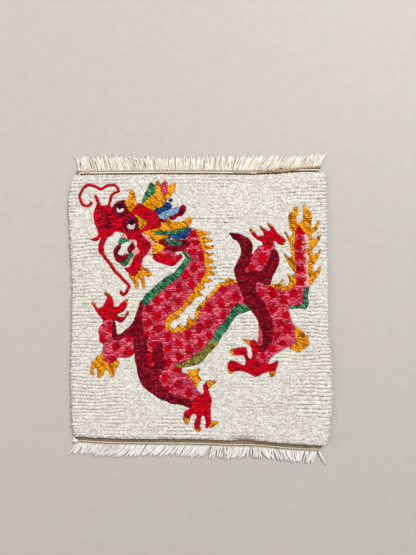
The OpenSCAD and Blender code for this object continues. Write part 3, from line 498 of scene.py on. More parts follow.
def tuft_tops(x, y, field, rim_near):
    """Height that each tuft is cut to."""
    top = PILE_TOP - 1.0 * MM + np.where(field, *LIFT)
    top = top + 0.3 * MM * smooth_noise(x, y, 40 * MM, 5)
    top = top + 0.3 * MM * smooth_noise(x, y, 9 * MM, 6)
    top = top + np.where(field, *BUMPS) * smooth_noise(x / 2.6, y, 5 * MM, 31)
    top = top + np.where(field, *UNEVEN) * rng.normal(0, 1, len(x)) - 2.4 * MM * rim_near**2
    return top - DIMPLE_DEPTH * pressed(x, y)


def tuft_leans(pull, rim, d_edge, rim_near):
    """How far each tip leans: a little off an outline, and out over the border."""
    lean = pull * (0.3 * MM * (1 - ramp(d_edge, 0.5 * MM, 3.0 * MM)))[:, None]
    lean = lean * (1 - rim_near)[:, None] - rim * BORDER_LEAN * rim_near[:, None]
    return lean + LEAN_SPREAD * rng.normal(0, 1, lean.shape)


def tuft_slants(x, y, pull, d_edge, field, band):
    """Way that each flattened tuft lies: across narrow bands, and wandering elsewhere."""
    across = np.arctan2(pull[:, 1], pull[:, 0])
    free = 0.8 * smooth_noise(x, y, 26 * MM, 7)
    free = free + np.where(field, *SLANT_SPREAD) * rng.normal(0, 1, len(x))
    keep_band = 1 - ramp(d_edge, 6 * MM, 12 * MM)
    keep_wide = 0.8 * (1 - ramp(d_edge, 2 * MM, 7 * MM))
    keep = np.where(band, keep_band, keep_wide) * np.where(field, *FOLLOW)
    return 0.5 * np.arctan2(
        keep * np.sin(2 * across) + (1 - keep) * np.sin(2 * free),
        keep * np.cos(2 * across) + (1 - keep) * np.cos(2 * free),
    )


def kept_inside(verts, centre, owner):
    """Draws in the vertices that cross the outline of another colour, step by step."""
    own = carve_of[owner][:, None]
    for _ in range(5):
        i, j = cell_of(verts[..., 0], verts[..., 1])
        over = (label[i, j] >= 0) & (carve_of[label[i, j]] != own)
        drawn_in = centre + (verts[..., :2] - centre) * 0.78
        verts[..., :2] = np.where(over[..., None], drawn_in, verts[..., :2])


def surface_height(verts, x, y, top, field):
    """Height of the pile over each vertex: carved lines, rows and ridges of row pairs."""
    i, j = cell_of(verts[..., 0], verts[..., 1])
    carve, reach = np.where(field, *CARVE)[:, None], np.where(field, *CARVE_REACH)[:, None]
    z = top[:, None] - carve * (1 - ramp(to_edge[i, j] / reach, 0.0, 1.0))
    phase = (verts[..., 1] - FIRST_ROW - row_shift(x, y)[:, None]) / ROW_PITCH * 2 * math.pi
    row_height = np.where(field, *ROW_HEIGHT)[:, None]
    pair_height = np.where(field, 0.10 + 0.75 * ridge_patch(x, y), 0.20)[:, None] * MM
    return z + row_height * np.cos(phase) + pair_height * np.sin(phase / 2)


def grow(points, owner):
    """Vertices of the yarn tufts standing on the given points, and how far up each is, which sets
    their painted shade.
    """
    n = len(points)
    x, y = points[:, 0], points[:, 1]
    i, j = cell_of(x, y)
    d_edge, pull = to_edge[i, j], edge_pull[i, j]
    field, band = IS_FIELD[owner], IS_BAND[owner]
    rim_near = 1 - ramp(to_rim[i, j], 0.5 * MM, 7.0 * MM)
    top = tuft_tops(x, y, field, rim_near)
    lean = tuft_leans(pull, rim_pull[i, j], d_edge, rim_near)
    slant = tuft_slants(x, y, pull, d_edge, field, band)[:, None]

    long_r = np.where(field, *LONG_R) * rng.uniform(0.90, 1.10, n)
    short_r = np.where(field, *SHORT_R) * rng.uniform(0.90, 1.10, n)
    corners = np.arange(SIDES)[None, :] * 2 * math.pi / SIDES
    turn = rng.uniform(0, 2 * math.pi, n)[:, None] + corners
    wide, tall = np.cos(turn) * long_r[:, None], np.sin(turn) * short_r[:, None]
    ring_x = wide * np.cos(slant) - tall * np.sin(slant)
    ring_y = wide * np.sin(slant) + tall * np.cos(slant)

    per = len(RING_R) * SIDES + 1
    verts, depth, drop = np.empty((n, per, 3)), np.empty((n, per)), np.zeros((n, per))
    for r, (size, share) in enumerate(zip(RING_R, RING_LEAN)):
        wobble = 1 + LOBES * PLY_DEPTH + 0.07 * rng.normal(0, 1, (n, SIDES))
        ring = slice(r * SIDES, (r + 1) * SIDES)
        verts[:, ring, 0] = x[:, None] + lean[:, :1] * share + ring_x * size * wobble
        verts[:, ring, 1] = y[:, None] + lean[:, 1:] * share + ring_y * size * wobble
        depth[:, ring] = np.where(field, *RING_DEPTH[:, r])[:, None]
        drop[:, ring] = np.where(field, *RING_DROP[:, r])[:, None]
        drop[:, ring] *= 1 - 0.35 * LOBES + 0.12 * rng.normal(0, 1, (n, SIDES))
    verts[:, -1, :2] = points + lean
    depth[:, -1] = 1.0
    # painted shade where the pile is pressed down: the tufts there take more of the darkened root
    # colour
    depth *= 1 - 0.45 * pressed(x, y)[:, None]

    kept_inside(verts, points[:, None], owner)
    verts[..., 2] = surface_height(verts, x, y, top, field) - drop
    verts[:, :SIDES, 2] = GROUND_Z
    return verts, depth


# how much darker the claws get towards their points, from where to where past the paw
CLAW_SHADE = {"claws_left": 1.3, "claws_upper": 0.8, "claws_right": 0.15, "claws_bottom": 0.1}
CLAW_FADE = (2 * MM, 7 * MM)
# the motif's wool is also darker round this place, out to this far
DARK_TIP = (0.075, 0.172)
DARK_FADE = (3 * MM, 13 * MM)


def shades(points, owner):
    """How light each tuft's yarn is from 0 to 1: random tone, streaks, darker claw points and
    painted shade in the dimple.
    """
    x, y = points[:, 0], points[:, 1]
    own = rng.uniform(0, 1, len(points))
    waves = smooth_noise(x / 3.2, y + 1.6 * MM * np.sin(x / (7 * MM)), 2.6 * MM, 21)
    bars = smooth_noise((x - y) / 5, x + y, 4.2 * MM, 22)
    streak = np.where(IS_BAND[owner], 1.4 * bars, waves)
    value = np.where(IS_FIELD[owner], own, 0.5 + 0.5 * (own - 0.5) + 0.55 * streak)
    value[owner == PILE.index("scale_marks")] -= 0.08
    # painted shade where the pile is pressed down
    value -= 1.2 * pressed(x, y)
    to_tip = np.hypot(x - DARK_TIP[0], y - DARK_TIP[1])
    value -= np.where(IS_FIELD[owner], 0.0, 1.3 * (1 - ramp(to_tip, *DARK_FADE)))
    for name, fade in CLAW_SHADE.items():
        paw = points[owner == PILE.index(name.replace("claws", "paw"))]
        mine = np.nonzero(owner == PILE.index(name))[0]
        gap = np.linalg.norm(points[mine][:, None] - paw[None], axis=2).min(1)
        value[mine] -= fade * ramp(gap, *CLAW_FADE)
    return value


def tuft_faces(n):
    """Faces of n tufts: the sides of each from ring to ring, and its tip."""
    per = len(RING_R) * SIDES + 1
    s = np.arange(SIDES)
    t = (s + 1) % SIDES
    quads = np.concatenate([
        np.stack([r * SIDES + s, r * SIDES + t, (r + 1) * SIDES + t, (r + 1) * SIDES + s], 1)
        for r in range(len(RING_R) - 1)
    ])
    last = (len(RING_R) - 1) * SIDES
    caps = np.stack([last + s, last + t, np.full(SIDES, per - 1)], 1)
    base = (np.arange(n) * per)[:, None, None]
    return [(quads[None] + base).reshape(-1, 4), (caps[None] + base).reshape(-1, 3)]


# the peach stripe beside the tail is flecked with the tail's own red: where, how far tufts
# stray there and elsewhere, and how far the red reaches into the peach
stripe_low, stripe_high = (np.array(c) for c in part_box("tail_peach"))
STRIPE_X = (stripe_low[0] + stripe_high[0]) / 2
STRIPE_REACH = (stripe_high[0] - stripe_low[0]) / 2 + 4 * MM
STRIPE_STRAY = 1.7 * MM
FLECK_STRAY = 1.1 * MM
STRIPE_SHIFT = 2.2 * MM

edge_points = edge_tufts()
points = np.concatenate([edge_points, row_tufts(edge_points)])
# a tuft takes the colour of a place a little off its own, so that flecks of one colour
# stand in the other where two areas meet without a carved line
own = label[cell_of(*points.T)]
stray = np.where(np.abs(points[:, 0] - STRIPE_X) < STRIPE_REACH, STRIPE_STRAY, FLECK_STRAY)
ragged = points + rng.normal(0, 1, points.shape) * stray[:, None]
ragged[own == PILE.index("tail_peach"), 0] -= STRIPE_SHIFT
ragged[own == PILE.index("tail")] = points[own == PILE.index("tail")]
beside = label[cell_of(*ragged.T)]
owner = np.where((beside >= 0) & (carve_of[own] == carve_of[beside]), beside, own)
verts, depth = grow(points, owner)
tint = shades(points, owner)
print("tufts", len(points))

# -------------------- materials


class Net:
    """Shorthand for building a node tree."""

    def __init__(self, name):
        self.mat = bpy.data.materials.new(name)
        self.mat.use_nodes = True
        self.tree = self.mat.node_tree
        self.out = self.tree.nodes["Principled BSDF"]

    def add(self, kind, **values):
        node = self.tree.nodes.new(kind)
        for key, value in values.items():
            if key in node.inputs:
                self.put(node.inputs[key], value)
            else:
                setattr(node, key, value)
        return node

    def put(self, socket, value):
        if isinstance(value, bpy.types.NodeSocket):
            self.tree.links.new(value, socket)
        else:
            socket.default_value = value

    def math(self, op, *values, clamp=False):
        node = self.tree.nodes.new("ShaderNodeMath")
        node.operation = op
        node.use_clamp = clamp
        for socket, value in zip(node.inputs, values):
            self.put(socket, value)
        return node.outputs[0]

    def mix(self, factor, a, b):
        node = self.tree.nodes.new("ShaderNodeMix")
        node.data_type = "RGBA"
        self.put(node.inputs["Factor"], factor)
        self.put(node.inputs["A"], a)
        self.put(node.inputs["B"], b)
        return node.outputs["Result"]

    def blend(self, shade, dark, mid, light):
        """Colour that runs from dark through mid to light as the shade goes from 0 to 1."""
        lower = self.math("MULTIPLY", shade, 2.0, clamp=True)
        upper = self.math("MULTIPLY_ADD", shade, 2.0, -1.0, clamp=True)
        return self.mix(upper, self.mix(lower, linear(dark), linear(mid)), linear(light))

    def surface(self, colour, height, strength, distance, roughness, gloss, fuzz, fuzz_rough):
        """Sets the shader for yarn of this colour, with bumps of this height."""
        self.put(self.out.inputs["Base Color"], colour)
        bump = self.add("ShaderNodeBump", Strength=strength, Distance=distance, Height=height)
        self.put(self.out.inputs["Normal"], bump.outputs["Normal"])
        self.put(self.out.inputs["Roughness"], roughness)
        self.put(self.out.inputs["Specular IOR Level"], gloss)
        self.put(self.out.inputs["Sheen Weight"], fuzz)
        self.put(self.out.inputs["Sheen Roughness"], fuzz_rough)

    def noise(self, scale, detail=2.0, rough=0.5, stretch=None):
        """Noise with this many features to a metre."""
        place = self.add("ShaderNodeTexCoord").outputs["Object"]
        if stretch:
            mapping = self.tree.nodes.new("ShaderNodeMapping")
            mapping.inputs["Scale"].default_value = stretch
            self.tree.links.new(place, mapping.inputs["Vector"])
            place = mapping.outputs["Vector"]
        return self.add(
            "ShaderNodeTexNoise", Vector=place, Scale=scale, Detail=detail, Roughness=rough
        ).outputs["Fac"]

    def attribute(self, name):
        """A value that each vertex carries."""
        node = self.tree.nodes.new("ShaderNodeAttribute")
        node.attribute_name = name
        return node.outputs["Fac"]


def linear(rgb):
    """Linear colour from 0-255 display values."""
    c = np.array(rgb) / 255.0
    c = np.where(c <= 0.04045, c / 12.92, ((c + 0.055) / 1.055) ** 2.4)
    return (float(c[0]), float(c[1]), float(c[2]), 1.0)


def wool(name, dark, mid, light, vary=0.55, painted_root_shade=0.62, fuzz=0.3, patchy=0.35):
    """Cut wool pile: each tuft has its own shade, with fibre noise, a soft sheen and painted shade
    between tufts.
    """
    net = Net(name)
    tuft = net.attribute("tint")
    patch = net.noise(60.0, 3.0)
    fine = net.noise(1700.0, 3.0, 0.7, (1.0, 1.0, 0.18))
    coarse = net.noise(620.0, 3.0, 0.65, (1.0, 1.0, 0.3))
    fibre = net.math("ADD", net.math("MULTIPLY", fine, 0.4), net.math("MULTIPLY", coarse, 0.6))
    shade = net.math("MULTIPLY_ADD", tuft, vary, 0.275 - vary / 2)
    shade = net.math("ADD", shade, net.math("MULTIPLY", patch, patchy))
    shade = net.math("ADD", shade, net.math("MULTIPLY", fibre, 0.9))
    shade = net.math("SUBTRACT", shade, 0.275 + patchy / 2)
    # painted shade: low parts of a tuft, where the tufts crowd together, run to a darkened copy of
    # the dark colour
    root = net.math("MULTIPLY_ADD", net.attribute("depth"), 2.4, -1.36, clamp=True)
    painted_root_colour = linear([v * painted_root_shade for v in dark])
    deep = net.mix(root, painted_root_colour, net.blend(shade, dark, mid, light))
    net.surface(
        deep, height=fibre, strength=0.9, distance=1.1 * MM, roughness=0.95, gloss=0.1,
        fuzz=fuzz, fuzz_rough=0.45,
    )
    net.put(net.out.inputs["Sheen Tint"], linear(light))
    return net.mat


# dark, middle and light colour, then vary, painted_root_shade, fuzz and patchy where they differ
WOOL_LOOKS = {
    "ivory_wool": ((180, 171, 156), (215, 210, 202), (241, 238, 233), 0.55, 0.92, 0.1, 0.3),
    "red_wool": ((134, 0, 16), (204, 0, 26), (226, 14, 42), 0.8, 0.6, 0.02),
    "burgundy_wool": ((78, 0, 16), (128, 4, 28), (176, 34, 60), 0.85, 0.6, 0.04),
    "rose_wool": ((160, 8, 36), (208, 62, 88), (238, 136, 150), 0.85, 0.6, 0.06),
    "gold_wool": ((146, 70, 6), (236, 152, 14), (250, 186, 44), 0.75, 0.8, 0.04),
    "green_wool": ((16, 66, 40), (50, 122, 82), (112, 168, 134), 0.8, 0.6, 0.1),
    "olive_wool": ((84, 76, 20), (134, 124, 48), (170, 162, 88), 0.8, 0.5, 0.1),
    "navy_wool": ((12, 36, 82), (28, 68, 124), (62, 104, 160), 0.7),
    "sky_wool": ((96, 134, 164), (134, 172, 196), (170, 200, 216)),
    "peach_wool": ((204, 128, 112), (228, 172, 156), (246, 218, 204), 0.9),
    "black_wool": ((8, 8, 10), (18, 18, 22), (44, 44, 50)),
}
WOOLS = {name: wool(name, *look) for name, look in WOOL_LOOKS.items()}


def cotton(name, root, dark, mid, light):
    """Twisted cotton yarn: off-white with fine strands, and painted shade in its hollows and low
    parts.
    """
    net = Net(name)
    strand = net.noise(900.0, 3.0, 0.65)
    patch = net.noise(70.0, 2.0)
    shade = net.math("ADD", net.math("MULTIPLY", strand, 0.8), net.math("MULTIPLY", patch, 0.5))
    shade = net.math("ADD", shade, net.math("MULTIPLY", net.attribute("tint"), 0.35))
    shade = net.math("SUBTRACT", shade, 0.38)
    # painted shade: where the depth value is low, the colour runs to the hollow colour
    deep = net.mix(net.attribute("depth"), linear(root), net.blend(shade, dark, mid, light))
    net.surface(
        deep, height=strand, strength=0.5, distance=0.3 * MM, roughness=0.88, gloss=0.2,
        fuzz=0.15, fuzz_rough=0.5,
    )
    return net.mat


# colour of the painted shade in the hollows, then dark, middle and light colour
YARN_LOOKS = {
    "fringe_cotton": ((132, 104, 74), (188, 176, 158), (232, 226, 216), (249, 246, 240)),
    "tail_cotton": ((122, 102, 78), (198, 192, 183), (236, 233, 228), (250, 249, 247)),
    "heading_cotton": ((84, 68, 50), (116, 98, 76), (156, 138, 114), (184, 168, 144)),
    "loose_cotton": ((104, 78, 50), (152, 126, 92), (200, 178, 142), (236, 222, 196)),
    "cord_cotton": ((120, 100, 74), (196, 182, 156), (230, 223, 208), (248, 245, 238)),
    "selvedge_wool": ((150, 140, 122), (196, 189, 175), (224, 219, 209), (240, 237, 230)),
    "ground_cotton": ((110, 98, 78), (150, 138, 114), (190, 180, 158), (214, 206, 188)),
}
YARNS = {name: cotton(name, *look) for name, look in YARN_LOOKS.items()}

# -------------------- pile pieces

# most tufts in one piece; a larger area is parted into several pieces; tufts of the
# largest piece, so that no piece is thinned out when it is exported
TUFTS_EACH = 3400


def pile_piece(name, node, mine):
    """One piece of pile, made of the tufts whose places in the list are given."""
    v = verts[mine]
    obj = build(
        name,
        v.reshape(-1, 3),
        tuft_faces(len(mine)),
        {"tint": np.repeat(tint[mine], v.shape[1]), "depth": depth[mine].ravel()},
    )
    obj.data.materials.append(WOOLS[SLOTS[node]])
    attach(obj, "root")
    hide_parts(node)


for k, name in enumerate(PILE):
    mine = np.nonzero(owner == k)[0]
    if len(mine) <= TUFTS_EACH:
        pile_piece("pile_" + name, name, mine)
        continue
    # a large area is parted from tail to head
    mine = mine[np.argsort(points[mine, 1], kind="stable")]
    for part, some in enumerate(np.array_split(mine, math.ceil(len(mine) / TUFTS_EACH))):
        pile_piece(f"pile_{name}_{part + 1}", name, some)

# -------------------- cords and headings


# spacing of places along a cord or heading, and how many a cord's middle is averaged over
LINE_STEP = 0.8 * MM
LINE_WINDOW = 9


def centre_line(name, axis):
    """Middle of a CAD strip at even steps along one axis, with its width and heights."""
    co, _ = node_mesh(name)
    other = 1 - axis
    a, b = co[:, axis].min(), co[:, axis].max()
    at = np.linspace(a, b, max(int((b - a) / LINE_STEP), 2))
    starts, ends = outline_edges(name)
    mids = []
    for t in at:
        t = min(max(t, a + 0.2 * MM), b - 0.2 * MM)
        lo = np.minimum(starts[:, axis], ends[:, axis])
        hi = np.maximum(starts[:, axis], ends[:, axis])
        on = (lo <= t) & (hi >= t) & (hi > lo)
        s, e = starts[on], ends[on]
        f = (t - s[:, axis]) / (e[:, axis] - s[:, axis])
        cross = s[:, other] + f * (e[:, other] - s[:, other])
        mids.append((cross.min(), cross.max()))
    mids = np.array(mids)
    padded = np.pad(mids.mean(1), LINE_WINDOW // 2, mode="edge")
    middle = np.convolve(padded, np.ones(LINE_WINDOW) / LINE_WINDOW, mode="valid")
    path = np.empty((len(at), 2))
    path[:, axis], path[:, other] = at, middle
    return path, mids, co[:, 2].min(), co[:, 2].max()


def tube(path, radius, sides):
    """Vertices and faces of a tube along 3-D points, closed at both ends."""
    path = np.asarray(path)
    n = len(path)
    radius = np.broadcast_to(np.asarray(radius, dtype=float), (n,))
    run = np.gradient(path, axis=0)
    run /= np.maximum(np.linalg.norm(run, axis=1, keepdims=True), 1e-12)
    up = np.tile([0.0, 0.0, 1.0], (n, 1))
    side = np.cross(run, up)
    size = np.linalg.norm(side, axis=1, keepdims=True)
    side = np.where(size > 1e-6, side / np.maximum(size, 1e-6), [1.0, 0.0, 0.0])
    up = np.cross(side, run)
    ang = np.arange(sides) * 2 * math.pi / sides
    ring = np.cos(ang)[None, :, None] * side[:, None] + np.sin(ang)[None, :, None] * up[:, None]
    v = (path[:, None] + ring * radius[:, None, None]).reshape(-1, 3)
    v = np.concatenate([v, path[:1], path[-1:]])
    s = np.arange(sides)
    t = (s + 1) % sides
    rows = np.arange(n - 1)[:, None] * sides
    quads = np.stack([rows + s, rows + t, rows + sides + t, rows + sides + s], -1).reshape(-1, 4)
    a, b = n * sides, n * sides + 1
    caps = np.concatenate([
        np.stack([t, s, np.full(sides, a)], 1),
        np.stack([(n - 1) * sides + s, (n - 1) * sides + t, np.full(sides, b)], 1),
    ])
    return v, quads, caps


def joined(parts):
    """Several tubes as one set of vertices and faces."""
    points, quads, caps = zip(*parts)
    starts = np.cumsum([0] + [len(v) for v in points[:-1]])
    quads = np.concatenate([q + start for q, start in zip(quads, starts)])
    caps = np.concatenate([c + start for c, start in zip(caps, starts)])
    return np.concatenate(points), [quads, caps]


def finish_piece(obj, material, node):
    """Gives a piece its yarn, hangs it under the root and hides the CAD node it stands for."""
    obj.data.materials.append(material)
    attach(obj, "root")
    if node:
        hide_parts(node)
    return obj


def arc_length(path):
    """Length along a path at each of its points."""
    return np.concatenate([[0], np.cumsum(np.linalg.norm(np.diff(path, axis=0), axis=1))])


CORD_SIDES = 8
# the ends of the cords bend in, and by how much over the last of their length
BEND = 5 * MM
BEND_LENGTH = 7 * MM


def twined_cord(name, axis, strands, pitch, strand_r, spin_r, lift, outward=0.0, lighter=0.0):
    """A cord of yarns twisted round each other along a CAD cord, with painted shade on its
    underside.
    """
    path, _, z0, _ = centre_line(name, axis)
    path[:, 1 - axis] += outward
    s = arc_length(path)
    at_end = 1 - ramp(np.minimum(s, s[-1] - s), 0, BEND_LENGTH)
    if axis == 0:
        path[:, 1] -= np.sign(path[:, 1]) * BEND * at_end**2
    run = np.gradient(path, axis=0)
    run /= np.linalg.norm(run, axis=1, keepdims=True)
    side = np.stack([-run[:, 1], run[:, 0]], 1)
    parts, tints = [], []
    for k in range(strands):
        a = 2 * math.pi * (s / pitch + k / strands) + 0.5 * smooth_noise(s, s * 0, 20 * MM, 40 + k)
        p = np.empty((len(s), 3))
        p[:, :2] = path + side * (np.cos(a) * spin_r)[:, None]
        p[:, 2] = z0 + lift + np.sin(a) * spin_r * 0.8
        parts.append(tube(p, strand_r * (1 - 0.35 * at_end**2), CORD_SIDES))
        worn = 0.5 + 0.5 * smooth_noise(p[:, 0], p[:, 1], 45 * MM, 30)
        # lighter shifts the whole cord's tint, for painted light at the head and painted shade at
        # the tail
        shade = 0.35 * k / strands + 0.65 * worn + lighter
        tints.append(np.concatenate([np.repeat(shade, CORD_SIDES), shade[:1], shade[-1:]]))
    v, f = joined(parts)
    # painted shade on the lower side of the twist
    high_up = ramp(v[:, 2], z0 + lift - spin_r - strand_r, z0 + lift)
    return build("yarn_" + name, v, f, {"tint": np.concatenate(tints), "depth": high_up})


# the head cord is painted lighter where it lies in the light, the tail cord painted darker for the
# shade there
cord = twined_cord(
    "cord_top", 0, strands=2, pitch=8 * MM, strand_r=1.15 * MM, spin_r=0.8 * MM, lift=3.4 * MM,
    outward=3.2 * MM, lighter=0.35,
)
finish_piece(cord, YARNS["cord_cotton"], "cord_top")
cord = twined_cord(
    "cord_bottom", 0, strands=2, pitch=8 * MM, strand_r=0.85 * MM, spin_r=0.65 * MM,
    lift=2.2 * MM, outward=-1.9 * MM, lighter=-1.0,
)
finish_piece(cord, YARNS["cord_cotton"], "cord_bottom")
for side in ("selvedge_left", "selvedge_right"):
    cord = twined_cord(
        side, 1, strands=3, pitch=12 * MM, strand_r=1.4 * MM, spin_r=1.15 * MM, lift=2.5 * MM
    )
    finish_piece(cord, YARNS["selvedge_wool"], side)

# the heading's rounded ends, rows of its mesh across, and the pitch of its weave
HEADING_CORNER = 8 * MM
HEADING_ROWS = 20
WEFT_PITCH = 1.7 * MM
WARP_PITCH = 3.2 * MM


def heading(name):
    """The flat-woven band past the pile: weft over warp in fine relief."""
    _, mids, z0, z1 = centre_line(name, 0)
    co, _ = node_mesh(name)
    at = np.linspace(co[:, 0].min(), co[:, 0].max(), len(mids))
    t = np.linspace(0, 1, HEADING_ROWS)[None, :]
    to_end = np.clip(np.minimum(at - at[0], at[-1] - at) / HEADING_CORNER, 0, 1)
    narrow = np.sqrt(np.clip(1 - (1 - to_end) ** 2, 0.02, 1))
    inner, outer = (0, 1) if mids.mean() > 0 else (1, 0)
    mids[:, outer] = mids[:, inner] + (mids[:, outer] - mids[:, inner]) * narrow
    y = mids[:, :1] * (1 - t) + mids[:, 1:] * t
    x = np.broadcast_to(at[:, None], y.shape)
    weft = (y - mids[:, :1]) / WEFT_PITCH
    warp = x / WARP_PITCH
    over = np.where((np.floor(weft) + np.floor(warp)) % 2 == 0, 1.0, -1.0)
    z = z1 - 1.2 * MM + 0.30 * MM * np.abs(np.sin(math.pi * weft)) * (0.7 + 0.3 * over)
    z = z + 0.55 * MM * np.abs(np.sin(math.pi * warp)) + 0.06 * MM * rng.normal(0, 1, z.shape)
    top = np.stack([x, y, z], -1).reshape(-1, 3)
    under = top.copy()
    under[:, 2] = z0 + 0.2 * MM
    n, m = y.shape
    i, j = np.meshgrid(np.arange(n - 1), np.arange(m - 1), indexing="ij")
    a = (i * m + j).ravel()
    f = np.stack([a, a + m, a + m + 1, a + 1], 1)
    g = f[:, ::-1] + n * m
    rim = np.concatenate([
        np.arange(n) * m, (n - 1) * m + np.arange(1, m), np.arange(n - 2, -1, -1) * m + m - 1,
        np.arange(m - 2, 0, -1),
    ])
    nxt = np.roll(rim, -1)
    walls = np.stack([nxt, rim, rim + n * m, nxt + n * m], 1)
    v = np.concatenate([top, under])
    tints = 0.5 + 0.5 * smooth_noise(v[:, 0], v[:, 1], 3 * MM, 9)
    # painted shade in the low parts of the weave
    high_up = ramp(v[:, 2], z1 - 1.4 * MM, z1 - 0.5 * MM)
    faces = [np.concatenate([f, g, walls])]
    return build("weave_" + name, v, faces, {"tint": tints, "depth": high_up})


for band in ("kilim_top", "kilim_bottom"):
    finish_piece(heading(band), YARNS["heading_cotton"], band)

# -------------------- fringe


def islands(name):
    """The points of every cord of a CAD fringe, from left to right."""
    co, tri = node_mesh(name)
    flat, index = merged(co)
    parent = list(range(len(flat)))

    def find(a):
        while parent[a] != a:
            parent[a] = parent[parent[a]]
            a = parent[a]
        return a

    for a, b, c in index[tri]:
        ra, rb, rc = find(a), find(b), find(c)
        parent[rb] = ra
        parent[find(rc)] = ra
    groups = {}
    for n in range(len(flat)):
        groups.setdefault(find(n), []).append(n)
    return sorted((flat[members] for members in groups.values()), key=lambda p: p[:, 0].mean())


PLIES = 3
PLY_SIDES = 7
STRAND_PITCH = 8 * MM
FIBRE_R = 0.32 * MM
# strands lie together in clumps of this many cords
CLUMP = 3
# how far the fringe is combed sideways for each length, at places across the mat
HEAD_COMB = [
    (-0.30, 0.0), (-0.275, -0.25), (-0.16, -0.3), (-0.06, 0.0), (0.05, 0.15), (0.12, 0.5),
    (0.22, 0.7), (0.29, 0.25),
]
TAIL_COMB = [
    (-0.295, -0.9), (-0.27, -0.45), (-0.24, -0.8), (-0.08, -0.8), (0.02, -0.45), (0.06, 0.2),
    (0.10, -0.5), (0.15, 0.3), (0.21, 0.4), (0.24, -0.2), (0.275, -0.3), (0.292, 0.5),
]


def strand(root, tip, lift, thick):
    """One fringe strand: plies twisted together at the cord and opening at the worn tip."""
    t = np.linspace(0, 1, 17)
    mid = np.empty((len(t), 3))
    mid[:, 0] = root[0] + (tip[0] - root[0]) * t**1.35
    mid[:, 1] = root[1] + (tip[1] - root[1]) * t
    bow = rng.normal(0, 0.9 * MM)
    mid[:, 0] += bow * np.sin(math.pi * t)
    mid[:, 2] = 2.6 * MM + lift * np.sin(math.pi * t**0.8) - 0.6 * MM * t
    run = np.gradient(mid[:, :2], axis=0)
    run /= np.linalg.norm(run, axis=1, keepdims=True)
    side = np.stack([-run[:, 1], run[:, 0]], 1)
    s = arc_length(mid)
    spin = rng.uniform(0, 2 * math.pi)
    parts = []
    for k in range(PLIES):
        a = spin + 2 * math.pi * (k / PLIES + s / STRAND_PITCH)
        open_up = thick * (0.95 + 0.55 * ramp(t, 0.55, 1.0))
        p = mid.copy()
        p[:, :2] += side * (np.cos(a) * open_up)[:, None]
        p[:, 2] += np.sin(a) * open_up * 0.75
        radius = thick * 1.12 * (1 - 0.55 * ramp(t, 0.82, 1.0))
        radius = radius * (1 + 0.06 * rng.normal(0, 1, len(t)))
        p[:, 2] = np.maximum(p[:, 2], radius + 0.1 * MM)
        parts.append(tube(p, radius, PLY_SIDES))
    return parts


def stray_fibre(root, tip):
    """A thin fibre that has worked loose from a strand."""
    t = np.linspace(0, 1, 9)
    p = np.empty((len(t), 3))
    sway = rng.normal(0, 3.0 * MM, 2)
    p[:, 0] = root[0] + (tip[0] - root[0]) * t + sway[0] * np.sin(math.pi * t) + sway[1] * t**2
    p[:, 1] = root[1] + (tip[1] - root[1]) * t * rng.uniform(0.85, 1.08)
    p[:, 2] = 2.4 * MM + rng.uniform(1.0, 3.2) * MM * np.sin(math.pi * t**0.7)
    return tube(p, FIBRE_R * (1 - 0.5 * t), 5)


class Bundle:
    """Tubes gathered for one piece, with where each is rooted and how light it is."""

    def __init__(self):
        self.tubes, self.roots, self.tints = [], [], []

    def add(self, tubes, root_y, shade, vary):
        for one in tubes:
            self.tubes.append(one)
            self.roots.append(np.full(len(one[0]), root_y))
            self.tints.append(np.full(len(one[0]), shade + rng.uniform(-vary, vary)))

    def piece(self, name):
        v, f = joined(self.tubes)
        # painted shade at the root of each strand and on its low parts near the floor
        from_root = ramp(np.abs(v[:, 1] - np.concatenate(self.roots)), 0.5 * MM, 6.0 * MM)
        high_up = 0.1 + 0.9 * from_root * ramp(v[:, 2], 0.6 * MM, 3.0 * MM)
        return build(name, v, f, {"tint": np.concatenate(self.tints), "depth": high_up})


def splayed_corner(bundle, root):
    """A few strands of the tail fringe, splayed over the corner of the pile."""
    for turn in np.linspace(0.15, 0.75, 4):
        reach = rng.uniform(13, 18) * MM
        tip = root + reach * np.array([-math.cos(turn), math.sin(turn), 0.0])
        tubes = strand(root, tip, rng.uniform(5, 8) * MM, 0.8 * MM)
        bundle.add(tubes, root[1] - 8 * MM, 0.6, 0.3)


def fringe(name, way, comb, stretch, pieces, beside, clumping, yarn):
    """Cotton warp ends knotted into strands, combed sideways as they lie."""
    comb_x, comb_lean = np.array(comb).T
    cords = islands(name)
    each = math.ceil(len(cords) / pieces)
    for k, p in enumerate(cords):
        if k % each == 0:
            bundle = Bundle()
        if k % CLUMP == 0:
            clump = rng.normal(0, 0.20 * clumping)
        outward = np.argsort(p[:, 1] * way)
        root, tip_y = p[outward[:2]].mean(0), p[outward[-1], 1]
        if way > 0:
            # the head fringe starts further left near the left corner
            root[0] -= 3.0 * MM * ramp(-root[0], 0.24, 0.289)
        elif k == 0:
            splayed_corner(bundle, root)
        bunch = clump + 0.10 * (1 - k % CLUMP) * clumping + rng.normal(0, 0.07)
        for side in beside:
            long = (tip_y - root[1]) * stretch * rng.uniform(0.88, 1.08)
            lean = np.interp(root[0], comb_x, comb_lean) + bunch + rng.normal(0, 0.13)
            start = root + np.array([side + rng.normal(0, 0.4 * MM), 0.0, 0.0])
            tip = np.array([root[0] + 0.6 * side + lean * abs(long), root[1] + long, 0.0])
            mine = strand(start, tip, rng.uniform(0.2, 2.8) * MM, rng.uniform(0.78, 0.98) * MM)
            mine.append(stray_fibre(start, tip))
            bundle.add(mine, root[1], rng.uniform(-0.5, 1.0), 0.1)
        if (k + 1) % each == 0 or k + 1 == len(cords):
            finish_piece(bundle.piece(f"yarn_{name}_{k // each + 1}"), yarn, name)


